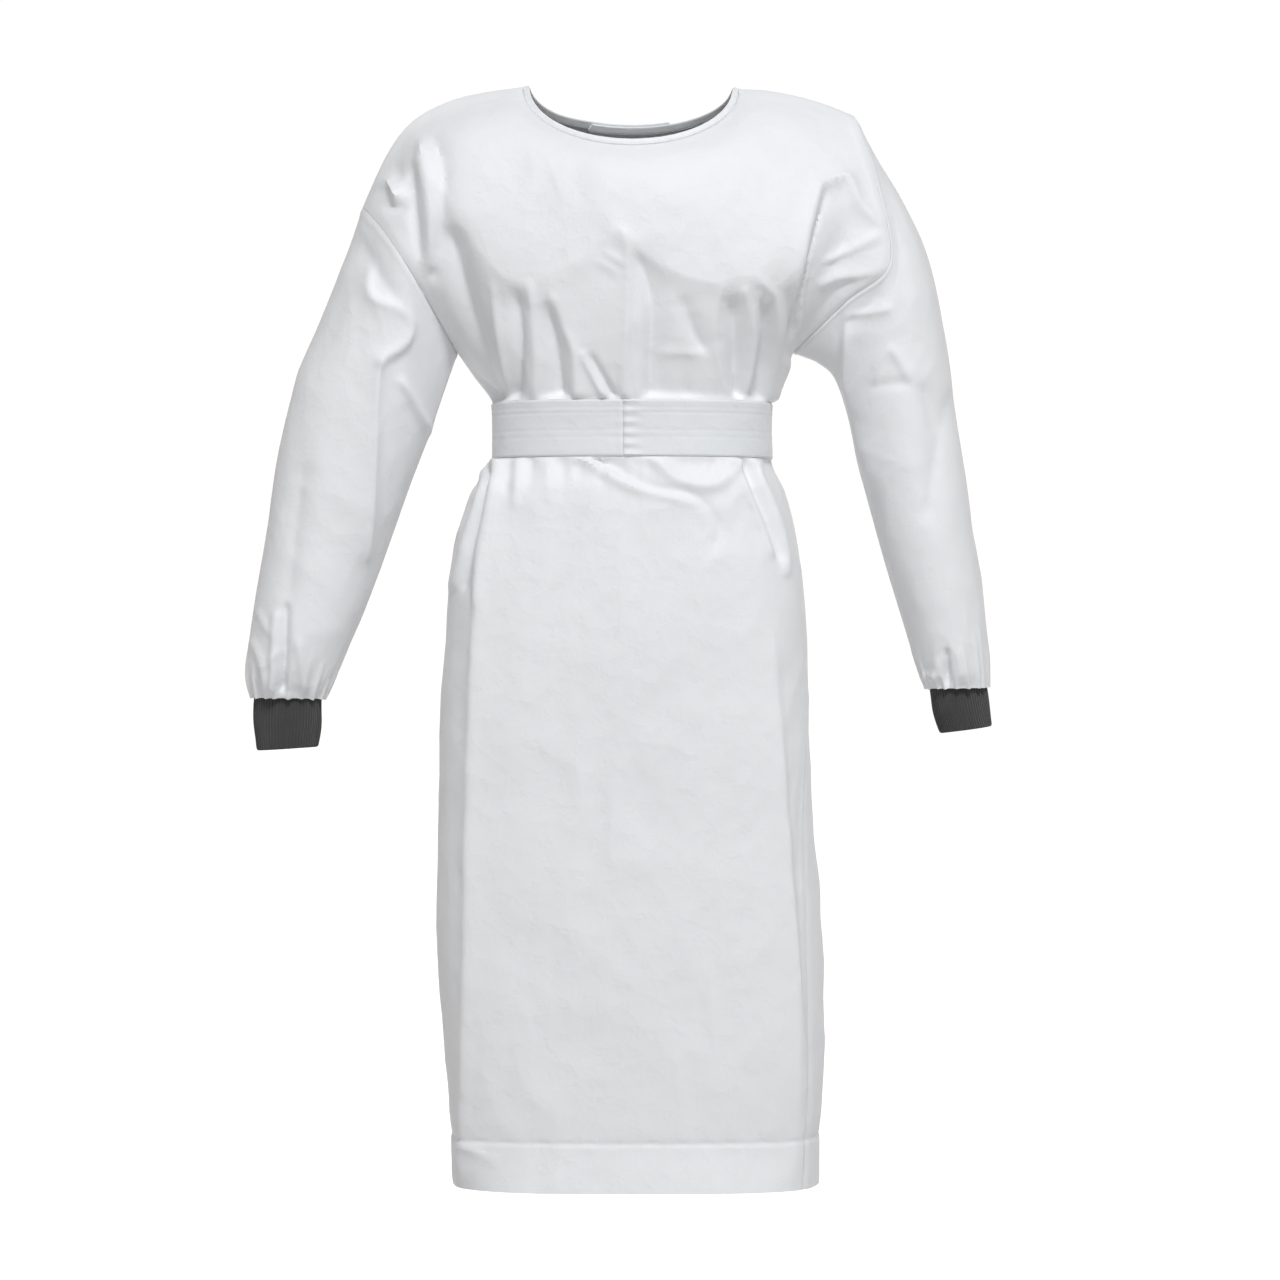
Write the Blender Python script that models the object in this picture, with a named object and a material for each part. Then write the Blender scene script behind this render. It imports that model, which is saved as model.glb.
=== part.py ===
"""A white surgical gown, filled out as worn, with nobody in it.

Metres, +Z up. X runs to the viewer's right and the front faces -Y. The origin is in the middle of the
neck opening, level with the two neck points, where the wearer's shoulders hold the gown up.
"""

import math
from collections import namedtuple

import bmesh
import bpy
import numpy as np
from mathutils import Vector

# Cloth and seams
CLOTH = 0.0016
SEAM_GAP = 0.0003
# How much of the gap each of two seamed pieces gives up. It is over half, as seams turn corners.
SEAM_SHARE = 0.6
BINDING_WIDTH = 0.0078
BINDING_THICK = 0.0024
BINDING_GAP = 0.0006
HEM_DROP = 1.2
HEM_TURN = 0.052
HEM_RIDGE = 0.0012

# Shoulders and neck
ARMPIT_DROP = 0.293
NECK_HALF = 0.119
NECK_BACK_OF_ORIGIN = 0.005
NECK_FRONT_REACH = 0.087
NECK_FRONT_DROP = 0.0735
NECK_BACK_REACH = 0.055
NECK_BACK_DROP = 0.044
BACK_SQUARE = 2.4
# How soon the chest fills out beside the armholes, and how late it rounds over to the shoulders
CHEST_FULLNESS = 0.8
SHOULDER_ROUNDING = 2.6
# How steeply the chest and the back swell out above the armpits, and how far up, as a share of the rise
FRONT_SWELL = 0.050
BACK_SWELL = 0.018
SWELL_SHARE = 0.4

# Belt
BELT_TOP = 0.3495
BELT_BOTTOM = 0.4115
BELT_EDGE = 0.0008
BELT_THICK = 0.0018
BELT_SEAM_X = -0.008
# Folds die away over this height as they run under the belt
BELT_PRESS = 0.012
KNOT_SIZE = (0.040, 0.024, 0.046)
KNOT_ROUNDNESS = 0.75
KNOT_WAIST = 0.18

# Back opening: the left back laps over the right one
LAP = 0.005
LAP_RAMP = 3

# Cells of the walls' grids
SHOULDER_CELLS = 6
FRONT_NECK_CELLS = 24
BACK_NECK_CELLS = 12
ARMHOLE_CELLS = 11
LAP_CELLS = 2
CUFF_RIBS = 32
RIB_HEIGHT = 0.0008

# The height of each row of cells below the armpits, as a drop from the neck points
BODY_DROPS = (
    0.293, 0.307, 0.322, 0.337, BELT_TOP, 0.380, BELT_BOTTOM, 0.424, 0.440, 0.460, 0.490, 0.530,
    0.590, 0.670, 0.770, 0.880, 0.990, 1.090, HEM_DROP - HEM_TURN - 0.004, HEM_DROP - HEM_TURN, HEM_DROP,
)

# A distant eye in front of the gown. The folds' places are given as it sees them.
EYE = (0.010, -4.5, -0.609)

# The body's outline at each drop: its two sides, its depths in front and behind, how square its front
# is, and how far, in degrees, each side seam is turned forward.
Section = namedtuple("Section", "drop left right front back square seam_left seam_right")
BODY = (
    Section(0.293, -0.191, 0.178, 0.115, 0.100, 2.6, 0, 0),
    Section(0.320, -0.172, 0.166, 0.110, 0.098, 2.5, 0, 0),
    Section(0.3495, -0.152, 0.154, 0.103, 0.094, 2.5, 0, 0),
    Section(0.380, -0.151, 0.153, 0.101, 0.093, 2.5, 0, 0),
    Section(0.4115, -0.151, 0.154, 0.103, 0.095, 2.5, 0, 0),
    Section(0.447, -0.177, 0.169, 0.114, 0.110, 2.8, -4, 0),
    Section(0.490, -0.190, 0.180, 0.119, 0.121, 3.0, -6, 0),
    Section(0.545, -0.198, 0.188, 0.125, 0.129, 3.2, -8, 0),
    Section(0.601, -0.202, 0.192, 0.129, 0.132, 3.3, -8, 4),
    Section(0.690, -0.208, 0.195, 0.132, 0.133, 3.4, -8, 14),
    Section(0.807, -0.210, 0.199, 0.134, 0.132, 3.5, -8, 26),
    Section(0.885, -0.213, 0.207, 0.135, 0.131, 3.5, -8, 32),
    Section(0.970, -0.210, 0.211, 0.136, 0.131, 3.5, -8, 34),
    Section(1.063, -0.202, 0.212, 0.136, 0.131, 3.5, -8, 34),
    Section(1.148, -0.195, 0.209, 0.133, 0.131, 3.5, -8, 34),
    Section(1.200, -0.187, 0.203, 0.139, 0.131, 3.5, -8, 34),
)

# The shoulder seams from the neck point to the armhole
Knot = namedtuple("Knot", "x y z")
SHOULDER_LEFT = (
    Knot(-0.119, 0.005, 0.000),
    Knot(-0.160, 0.003, -0.006),
    Knot(-0.200, 0.001, -0.016),
    Knot(-0.240, 0.000, -0.038),
    Knot(-0.268, 0.000, -0.074),
    Knot(-0.295, 0.000, -0.133),
)
SHOULDER_RIGHT = (
    Knot(0.119, 0.005, -0.002),
    Knot(0.150, 0.004, -0.004),
    Knot(0.182, 0.004, -0.010),
    Knot(0.214, 0.005, -0.019),
    Knot(0.246, 0.005, -0.032),
)

# The armhole seams, each from the shoulder tip round by the front, the armpit and the back
ARMHOLE_LEFT = (
    Knot(-0.295, 0.000, -0.133),
    Knot(-0.273, -0.046, -0.158),
    Knot(-0.248, -0.068, -0.194),
    Knot(-0.221, -0.050, -0.240),
    Knot(-0.191, 0.000, -0.293),
    Knot(-0.216, 0.050, -0.246),
    Knot(-0.250, 0.072, -0.196),
    Knot(-0.279, 0.050, -0.154),
)
ARMHOLE_RIGHT = (
    Knot(0.246, 0.005, -0.032),
    Knot(0.266, -0.040, -0.104),
    Knot(0.281, -0.064, -0.198),
    Knot(0.234, -0.052, -0.241),
    Knot(0.178, 0.000, -0.293),
    Knot(0.226, 0.052, -0.244),
    Knot(0.262, 0.076, -0.176),
    Knot(0.262, 0.048, -0.092),
)

# Each sleeve's rings: its outer and inner points, its half depth and its middle's place along Y, and
# how much of the armhole's own shape it keeps.
Ring = namedtuple("Ring", "outer_x outer_z inner_x inner_z depth y armhole")
SLEEVE_LEFT = (
    Ring(-0.295, -0.133, -0.191, -0.293, 0.072, 0.000, 1.0),
    Ring(-0.317, -0.196, -0.206, -0.336, 0.070, 0.000, 0.6),
    Ring(-0.343, -0.260, -0.222, -0.383, 0.068, 0.000, 0.3),
    Ring(-0.368, -0.322, -0.240, -0.430, 0.066, -0.002, 0.1),
    Ring(-0.384, -0.389, -0.259, -0.483, 0.064, -0.004, 0.0),
    Ring(-0.396, -0.460, -0.277, -0.534, 0.061, -0.007, 0.0),
    Ring(-0.407, -0.527, -0.294, -0.579, 0.058, -0.010, 0.0),
    Ring(-0.415, -0.583, -0.308, -0.612, 0.055, -0.013, 0.0),
    Ring(-0.420, -0.625, -0.319, -0.639, 0.050, -0.015, 0.0),
    Ring(-0.420, -0.650, -0.328, -0.658, 0.043, -0.016, 0.0),
    Ring(-0.4142, -0.672, -0.3363, -0.673, 0.0308, -0.017, 0.0),
)
SLEEVE_RIGHT = (
    Ring(0.246, -0.032, 0.178, -0.293, 0.072, 0.002, 1.0),
    Ring(0.271, -0.079, 0.192, -0.298, 0.071, 0.002, 0.8),
    Ring(0.300, -0.128, 0.206, -0.304, 0.070, 0.001, 0.55),
    Ring(0.328, -0.194, 0.224, -0.320, 0.068, 0.000, 0.3),
    Ring(0.347, -0.289, 0.239, -0.360, 0.066, -0.002, 0.1),
    Ring(0.356, -0.356, 0.250, -0.413, 0.064, -0.004, 0.0),
    Ring(0.366, -0.422, 0.264, -0.468, 0.061, -0.007, 0.0),
    Ring(0.378, -0.499, 0.280, -0.526, 0.058, -0.010, 0.0),
    Ring(0.387, -0.565, 0.297, -0.582, 0.054, -0.013, 0.0),
    Ring(0.392, -0.624, 0.311, -0.628, 0.048, -0.015, 0.0),
    Ring(0.3915, -0.661, 0.3245, -0.662, 0.0345, -0.017, 0.0),
)
# Where the rows of a sleeve's cells lie, counted in rings of its table
SLEEVE_ROWS = (0, 0.5, 1, 1.5, 2, 2.6, 3.2, 3.9, 4.7, 5.5, 6.3, 7.1, 7.8, 8.4, 9, 9.5, 10)

# Each cuff's rings, read the same way
CUFF_LEFT = (
    Ring(-0.4115, -0.668, -0.3395, -0.669, 0.0265, -0.017, 0.0),
    Ring(-0.4125, -0.700, -0.3395, -0.699, 0.0265, -0.0175, 0.0),
    Ring(-0.4095, -0.730, -0.344, -0.726, 0.0245, -0.018, 0.0),
)
CUFF_RIGHT = (
    Ring(0.3885, -0.657, 0.3275, -0.658, 0.0295, -0.017, 0.0),
    Ring(0.392, -0.681, 0.331, -0.686, 0.0295, -0.0175, 0.0),
    Ring(0.3955, -0.703, 0.340, -0.711, 0.027, -0.018, 0.0),
)

# Folds, each along a short path as the eye sees it: how wide its soft edge is, and how far it stands out
# at its start and at its end. Troughs are below zero.
Fold = namedtuple("Fold", "path width start end")
FRONT_FOLDS = (
    Fold(
        ((-0.182, -0.150), (-0.130, -0.200), (-0.011, -0.160), (0.080, -0.200), (0.184, -0.160)),
        0.040, 0.006, 0.006,
    ),
    Fold(((-0.226, -0.070), (-0.207, -0.105), (-0.208, -0.200)), 0.013, -0.007, -0.005),
    Fold(((-0.236, -0.075), (-0.222, -0.160), (-0.217, -0.207)), 0.011, 0.005, 0.004),
    Fold(((-0.283, -0.112), (-0.262, -0.108), (-0.256, -0.124)), 0.010, 0.005, 0.004),
    Fold(((-0.172, -0.180), (-0.160, -0.250), (-0.148, -0.340)), 0.012, -0.003, -0.006),
    Fold(((-0.136, -0.214), (-0.134, -0.340)), 0.009, 0.002, 0.005),
    Fold(((-0.118, -0.211), (-0.118, -0.345)), 0.009, -0.004, -0.009),
    Fold(((-0.098, -0.240), (-0.096, -0.345)), 0.008, 0.002, 0.006),
    Fold(((-0.088, -0.234), (-0.070, -0.299), (-0.066, -0.346)), 0.014, -0.004, -0.011),
    Fold(((-0.106, -0.225), (-0.059, -0.291), (-0.045, -0.346)), 0.009, 0.003, 0.007),
    Fold(((-0.051, -0.291), (-0.012, -0.346)), 0.009, -0.003, -0.009),
    Fold(((-0.011, -0.156), (-0.007, -0.250), (-0.007, -0.346)), 0.010, 0.004, 0.007),
    Fold(((0.006, -0.170), (0.013, -0.250), (0.014, -0.346)), 0.014, -0.005, -0.009),
    Fold(((0.067, -0.230), (0.070, -0.262)), 0.020, -0.004, -0.004),
    Fold(((0.042, -0.300), (0.056, -0.346)), 0.018, -0.003, -0.009),
    Fold(((0.098, -0.270), (0.100, -0.346)), 0.010, 0.002, 0.006),
    Fold(((0.112, -0.216), (0.119, -0.300), (0.121, -0.346)), 0.011, -0.005, -0.010),
    Fold(((0.134, -0.224), (0.138, -0.346)), 0.008, 0.003, 0.007),
    Fold(((0.143, -0.209), (0.152, -0.345)), 0.009, -0.006, -0.009),
    Fold(((0.201, -0.131), (0.189, -0.174), (0.189, -0.224), (0.175, -0.285)), 0.012, 0.005, 0.006),
    Fold(((0.225, -0.118), (0.240, -0.160), (0.232, -0.205)), 0.024, -0.010, -0.012),
    Fold(((-0.044, -0.415), (0.014, -0.443), (0.076, -0.459)), 0.010, 0.008, 0.003),
    Fold(((-0.022, -0.418), (0.024, -0.443), (0.064, -0.449), (0.094, -0.480)), 0.010, -0.007, -0.004),
    Fold(((0.095, -0.480), (0.092, -0.520)), 0.010, -0.004, -0.002),
    Fold(((0.030, -0.415), (0.058, -0.436), (0.095, -0.438), (0.117, -0.416)), 0.010, 0.006, 0.006),
    Fold(((0.123, -0.412), (0.139, -0.447), (0.151, -0.477), (0.166, -0.521)), 0.008, -0.009, -0.004),
    Fold(((0.110, -0.414), (0.124, -0.447), (0.136, -0.480)), 0.009, 0.006, 0.003),
    Fold(((-0.132, -0.414), (-0.137, -0.452)), 0.008, -0.008, -0.003),
    Fold(((-0.109, -0.414), (-0.112, -0.446)), 0.008, -0.006, -0.002),
    Fold(((-0.120, -0.414), (-0.128, -0.460)), 0.008, 0.005, 0.003),
    Fold(((-0.070, -0.414), (-0.072, -0.448)), 0.010, -0.007, -0.002),
    Fold(((-0.034, -0.416), (-0.030, -0.440)), 0.009, -0.005, -0.002),
    Fold(((-0.150, -0.430), (-0.166, -0.480), (-0.170, -0.600), (-0.176, -0.800)), 0.015, 0.007, 0.007),
    Fold(((-0.176, -0.800), (-0.181, -1.000), (-0.184, -1.190)), 0.015, 0.007, 0.005),
    Fold(((0.166, -0.620), (0.172, -0.830), (0.185, -1.001), (0.196, -1.190)), 0.015, 0.005, 0.006),
    Fold(((-0.190, -0.480), (-0.188, -0.600), (-0.194, -0.760)), 0.014, -0.004, -0.003),
)
BACK_FOLDS = (
    Fold(((-0.125, -0.235), (-0.118, -0.345)), 0.013, -0.003, -0.009),
    Fold(((-0.090, -0.260), (-0.085, -0.345)), 0.012, 0.002, 0.006),
    Fold(((-0.070, -0.215), (-0.060, -0.345)), 0.014, -0.003, -0.009),
    Fold(((0.072, -0.250), (0.066, -0.345)), 0.013, -0.003, -0.008),
    Fold(((0.100, -0.225), (0.094, -0.345)), 0.013, 0.002, 0.006),
    Fold(((0.132, -0.240), (0.122, -0.345)), 0.013, -0.003, -0.009),
    Fold(((-0.128, -0.416), (-0.140, -0.500)), 0.013, -0.008, -0.003),
    Fold(((-0.092, -0.416), (-0.098, -0.520)), 0.014, -0.009, -0.003),
    Fold(((-0.110, -0.416), (-0.121, -0.560)), 0.013, 0.006, 0.003),
    Fold(((0.112, -0.416), (0.124, -0.540)), 0.013, -0.009, -0.003),
    Fold(((0.085, -0.416), (0.094, -0.500)), 0.013, 0.006, 0.002),
    Fold(((0.134, -0.416), (0.150, -0.520)), 0.013, 0.006, 0.003),
    Fold(((-0.150, -0.560), (-0.165, -0.880), (-0.160, -1.190)), 0.022, 0.006, 0.008),
    Fold(((0.135, -0.600), (0.160, -0.900), (0.165, -1.190)), 0.022, 0.006, 0.007),
    Fold(((-0.165, -0.110), (-0.120, -0.180)), 0.020, -0.005, -0.004),
    Fold(((0.170, -0.080), (0.130, -0.170)), 0.020, -0.005, -0.004),
)
LEFT_SLEEVE_FOLDS = (
    Fold(((-0.300, -0.170), (-0.262, -0.235), (-0.240, -0.275)), 0.014, -0.006, -0.005),
    Fold(((-0.292, -0.230), (-0.244, -0.259), (-0.268, -0.310), (-0.284, -0.356)), 0.014, 0.004, 0.004),
    Fold(((-0.250, -0.300), (-0.222, -0.376)), 0.013, 0.004, 0.003),
    Fold(((-0.385, -0.470), (-0.372, -0.570)), 0.016, -0.005, -0.003),
    Fold(((-0.384, -0.600), (-0.383, -0.660)), 0.010, -0.005, -0.006),
    Fold(((-0.300, -0.420), (-0.272, -0.450)), 0.014, -0.004, -0.005),
)
RIGHT_SLEEVE_FOLDS = (
    Fold(((0.300, -0.200), (0.262, -0.238), (0.235, -0.262)), 0.014, -0.006, -0.006),
    Fold(((0.235, -0.280), (0.282, -0.252)), 0.012, 0.004, 0.004),
    Fold(((0.352, -0.340), (0.335, -0.400), (0.324, -0.475)), 0.014, -0.004, -0.004),
    Fold(((0.270, -0.320), (0.286, -0.290), (0.320, -0.360)), 0.013, 0.004, 0.003),
    Fold(((0.347, -0.610), (0.348, -0.650)), 0.010, -0.005, -0.006),
    Fold(((0.268, -0.400), (0.300, -0.420)), 0.013, -0.004, -0.003),
)
GATHER_HEIGHT = 0.0022
GATHER_RISE = 0.070

# The belt's loose ends behind: how far each has run down, its middle, its width, and how far it stands
# off the back
Strap = namedtuple("Strap", "drop x width stand")
TAIL_LEFT = (
    Strap(0.000, -0.011, 0.020, 0.012),
    Strap(0.030, -0.016, 0.030, 0.007),
    Strap(0.080, -0.026, 0.046, 0.004),
    Strap(0.160, -0.037, 0.058, 0.003),
    Strap(0.290, -0.044, 0.060, 0.003),
)
TAIL_RIGHT = (
    Strap(0.000, 0.011, 0.020, 0.012),
    Strap(0.030, 0.016, 0.030, 0.007),
    Strap(0.080, 0.026, 0.046, 0.004),
    Strap(0.160, 0.040, 0.058, 0.003),
    Strap(0.260, 0.048, 0.060, 0.003),
)
TAIL_ROWS = 12
TAIL_COLUMNS = 6


def smooth_path(knots, at, closed=False):
    """Points on a smooth curve through the knots. The places run from 0 to the number of spans."""
    knots = np.asarray(knots, float)
    at = np.asarray(at, float)
    last = len(knots) - 1
    span = np.floor(at).astype(int)
    if not closed:
        span = np.clip(span, 0, last - 1)
    along = (at - span)[..., None]

    def knot(index):
        return knots[index % len(knots)] if closed else knots[np.clip(index, 0, last)]

    before, start, end, after = (knot(span + offset) for offset in (-1, 0, 1, 2))
    return 0.5 * (
        2 * start
        + (end - before) * along
        + (2 * before - 5 * start + 4 * end - after) * along**2
        + (3 * start - before - 3 * end + after) * along**3
    )


def read_table(table, column, at):
    """A table's rows at other values of one column, on a curve that never swings past its rows."""
    values = np.asarray(table, float)
    knots = values[:, table[0]._fields.index(column)]
    step = np.diff(knots)
    slope = np.diff(values, axis=0) / step[:, None]
    tangent = np.zeros_like(values)
    tangent[0], tangent[-1] = slope[0], slope[-1]
    product = slope[:-1] * slope[1:]
    total = slope[:-1] + slope[1:]
    rising = product > 0
    tangent[1:-1][rising] = 2 * product[rising] / total[rising]
    span = int(np.clip(np.searchsorted(knots, at) - 1, 0, len(step) - 1))
    part = (at - knots[span]) / step[span]
    start, end = values[span], values[span + 1]
    row = (
        start * (2 * part**3 - 3 * part**2 + 1)
        + end * (3 * part**2 - 2 * part**3)
        + tangent[span] * step[span] * (part**3 - 2 * part**2 + part)
        + tangent[span + 1] * step[span] * (part**3 - part**2)
    )
    return table[0]._make(row)


def even_points(path, fractions):
    """Points at these fractions of a path's length."""
    steps = np.linalg.norm(np.diff(path, axis=0), axis=1)
    length = np.concatenate([[0.0], np.cumsum(steps)])
    wanted = np.asarray(fractions) * length[-1]
    return np.column_stack([np.interp(wanted, length, path[:, axis]) for axis in range(3)])


def body_ring(drop, behind, cells):
    """The body's outline at one height, from the left side seam to the right one, by front or back."""
    row = read_table(BODY, "drop", drop)
    first = math.pi + math.radians(row.seam_left)
    last = -math.radians(row.seam_right) + (0 if behind else 2 * math.pi)
    angle = np.linspace(first, last, 400)
    power = np.where(np.sin(angle) < 0, 2 / row.square, 2 / BACK_SQUARE)
    depth = np.where(np.sin(angle) < 0, row.front, row.back)
    x = (row.left + row.right) / 2
    x = x + (row.right - row.left) / 2 * np.sign(np.cos(angle)) * np.abs(np.cos(angle)) ** power
    y = depth * np.sign(np.sin(angle)) * np.abs(np.sin(angle)) ** power
    outline = np.column_stack([x, y, np.full_like(x, -drop)])
    return even_points(outline, np.linspace(0, 1, cells + 1))


def neck_curve(behind, cells):
    """The neck seam from the left neck point to the right one, by the front or the back."""
    angle = np.linspace(math.pi, 0, 200)
    reach = NECK_BACK_REACH if behind else -NECK_FRONT_REACH
    fall = NECK_BACK_DROP if behind else NECK_FRONT_DROP
    height = np.interp(angle, [0, math.pi], [SHOULDER_RIGHT[0].z, SHOULDER_LEFT[0].z])
    curve = np.column_stack([
        NECK_HALF * np.cos(angle),
        NECK_BACK_OF_ORIGIN + reach * np.sin(angle),
        height - fall * np.sin(angle),
    ])
    return even_points(curve, np.linspace(0, 1, cells + 1))


def shoulder_curve(knots):
    fine = smooth_path(knots, np.linspace(0, len(knots) - 1, 120))
    return even_points(fine, np.linspace(0, 1, SHOULDER_CELLS + 1))


def top_edge(behind, neck_cells):
    """A panel's top, from the left shoulder tip by the neck seam to the right shoulder tip."""
    left = shoulder_curve(SHOULDER_LEFT)[::-1]
    neck = neck_curve(behind, neck_cells)
    right = shoulder_curve(SHOULDER_RIGHT)
    return np.concatenate([left[:-1], neck, right[1:]])


def armhole_edge(knots, behind):
    """An armhole from the armpit up to the shoulder tip, by the front or the back."""
    rise = np.linspace(0, 1, ARMHOLE_CELLS + 1)
    turn = 4 + 4 * rise if behind else 4 - 4 * rise
    return smooth_path(knots, turn, closed=True)


def chest(behind, neck_cells):
    """The rows of a panel from the armpits up to its top edge."""
    cells = 2 * SHOULDER_CELLS + neck_cells
    bottom = body_ring(ARMPIT_DROP, behind, cells)
    top = top_edge(behind, neck_cells)
    left = armhole_edge(ARMHOLE_LEFT, behind)
    right = armhole_edge(ARMHOLE_RIGHT, behind)
    side = np.linspace(0, 1, cells + 1)[None, :, None]
    rise = np.linspace(0, 1, ARMHOLE_CELLS + 1)[:, None, None]
    corners = (1 - rise) * ((1 - side) * bottom[0] + side * bottom[-1])
    corners = corners + rise * ((1 - side) * top[0] + side * top[-1])
    rows = (1 - rise) * bottom[None] + rise * top[None]
    rows = rows + (1 - side) * left[:, None] + side * right[:, None] - corners

    # The depth follows its own rule: full over the chest, and rounded over to the shoulder seams.
    side, rise = side[..., 0], rise[..., 0]
    edge = (1 - side) * left[:, None, 1] + side * right[:, None, 1]
    middle = bottom[cells // 2, 1]
    swell = (BACK_SWELL if behind else -FRONT_SWELL) * rise * np.exp(-((rise / SWELL_SHARE) ** 2))
    soft = np.sin(math.pi * side) ** CHEST_FULLNESS
    blend = rise**2 * (3 - 2 * rise)
    fullness = (1 - blend) * bottom[None, :, 1] / middle + blend * soft
    at_neck = np.clip(1 - np.abs(top[None, :, 0]) / NECK_HALF, 0, 1) ** 0.5
    rounding = (1 - rise**SHOULDER_ROUNDING) ** (0.5 + 0.5 * at_neck)
    edge_top = (1 - side) * left[-1, 1] + side * right[-1, 1]
    rows[..., 1] = edge + (middle + swell - edge) * fullness * rounding
    rows[..., 1] += (top[None, :, 1] - edge_top) * (1 - rounding)
    return rows


def as_seen(points):
    """The points' places on the plane through the origin, as the eye sees them."""
    reach = EYE[1] / (EYE[1] - points[..., 1])
    x = EYE[0] + (points[..., 0] - EYE[0]) * reach
    z = EYE[2] + (points[..., 2] - EYE[2]) * reach
    return np.stack([x, z], axis=-1)


def relief(places, folds):
    """How far the folds lift the cloth at each place."""
    lift = np.zeros(places.shape[:-1])
    for fold in folds:
        path = np.asarray(fold.path, float)
        steps = np.linalg.norm(np.diff(path, axis=0), axis=1)
        before = np.concatenate([[0.0], np.cumsum(steps)])
        nearest = np.full(lift.shape, np.inf)
        along = np.zeros(lift.shape)
        for start, end, step, run in zip(path[:-1], path[1:], steps, before[:-1]):
            part = np.clip((places - start) @ (end - start) / step**2, 0, 1)
            away = np.linalg.norm(places - start - part[..., None] * (end - start), axis=-1)
            closer = away < nearest
            nearest = np.where(closer, away, nearest)
            along = np.where(closer, (run + part * step) / before[-1], along)
        depth = fold.start + (fold.end - fold.start) * along
        lift += depth * np.exp(-((nearest / fold.width) ** 2))
    return lift


def outward(points, middle, closed=False):
    """The unit normals of a grid of points, facing away from its middle line."""
    if closed:
        across = np.roll(points, -1, axis=1) - np.roll(points, 1, axis=1)
    else:
        across = np.gradient(points, axis=1)
    along = np.gradient(points, axis=0)
    normals = np.cross(across, along)
    normals /= np.linalg.norm(normals, axis=2, keepdims=True)
    facing = np.sum(normals * (points - middle))
    return normals if facing > 0 else -normals


def panel(behind, neck_cells, folds):
    """A whole front or back, from its top edge down to the hem, with its folds and its hem's ridge."""
    cells = 2 * SHOULDER_CELLS + neck_cells
    upper = chest(behind, neck_cells)[::-1]
    lower = np.stack([body_ring(drop, behind, cells) for drop in BODY_DROPS[1:]])
    points = np.concatenate([upper, lower])
    normals = outward(points, points * (0, 0, 1))
    places = as_seen(points)
    lift = relief(places, folds)
    drops = -points[..., 2]
    belt_middle = (BELT_TOP + BELT_BOTTOM) / 2
    from_belt = np.abs(drops - belt_middle) - (BELT_BOTTOM - BELT_TOP) / 2
    lift *= np.clip(from_belt / BELT_PRESS, 0, 1)
    across = np.arange(cells + 1)
    lift *= np.clip(np.minimum(across, cells - across) / 2, 0, 1)
    lift[0] = 0
    lift[-3] += HEM_RIDGE
    lift[:, [0, -1]] = 0
    return points + normals * lift[..., None]


def sleeve_ring(rings, at, angles, armhole):
    """A sleeve's or a cuff's ring, where the first ring keeps the armhole's own shape."""
    row = Ring._make(smooth_path(rings, at))
    turn = np.stack([np.cos(angles), np.sin(angles)])
    points = round_ring(row, turn)
    if armhole is not None:
        own = smooth_path(armhole, angles / math.pi * 4, closed=True)
        points = points + row.armhole * (own - round_ring(rings[0], turn))
    return points


def round_ring(row, turn):
    x = (row.outer_x + row.inner_x) / 2 + (row.outer_x - row.inner_x) / 2 * turn[0]
    z = (row.outer_z + row.inner_z) / 2 + (row.outer_z - row.inner_z) / 2 * turn[0]
    return np.column_stack([x, row.y - row.depth * turn[1], z])


def sleeve(rings, armhole, folds):
    """A sleeve's outer points, from the armhole down to its gathered end."""
    columns = 2 * ARMHOLE_CELLS
    angles = np.arange(columns) * 2 * math.pi / columns
    points = np.stack([sleeve_ring(rings, at, angles, armhole) for at in SLEEVE_ROWS])
    middle = points.mean(axis=1, keepdims=True)
    normals = outward(points, middle, closed=True)
    lift = relief(as_seen(points), folds)
    in_front = np.clip(-normals[..., 1] * 2, -0.6, 1)
    lift *= np.where(in_front > 0, in_front, -in_front)
    rows = np.arange(len(SLEEVE_ROWS))[:, None]
    lift *= np.clip(rows / 2, 0, 1) * np.clip((len(SLEEVE_ROWS) - 1 - rows) / 2, 0, 1)
    to_end = np.linalg.norm(middle - middle[-1], axis=2)
    gather = np.clip(1 - to_end / GATHER_RISE, 0, 1) ** 0.7
    lift += GATHER_HEIGHT * gather * (np.arange(columns) % 2)
    return points + normals * lift[..., None]


# Panels that meet at a seam share one normal where theirs are this much alike, as their mean's length
UNLIKE, ALIKE = 0.45, 0.60


def share_normals(grids, normals):
    """One normal where panels meet, or each panel's own in the deep groove at an armpit."""
    met = {}
    for name, points in grids.items():
        for place, normal in zip(points.reshape(-1, 3), normals[name].reshape(-1, 3)):
            met.setdefault(tuple(np.round(place, 5)), []).append(normal.copy())
    for name, points in grids.items():
        flat = normals[name].reshape(-1, 3)
        for index, place in enumerate(points.reshape(-1, 3)):
            mean = np.mean(met[tuple(np.round(place, 5))], axis=0)
            size = np.linalg.norm(mean)
            share = np.clip((size - UNLIKE) / (ALIKE - UNLIKE), 0, 1)
            mixed = share * mean / max(size, 1e-6) + (1 - share) * flat[index]
            flat[index] = mixed / np.linalg.norm(mixed)


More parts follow.
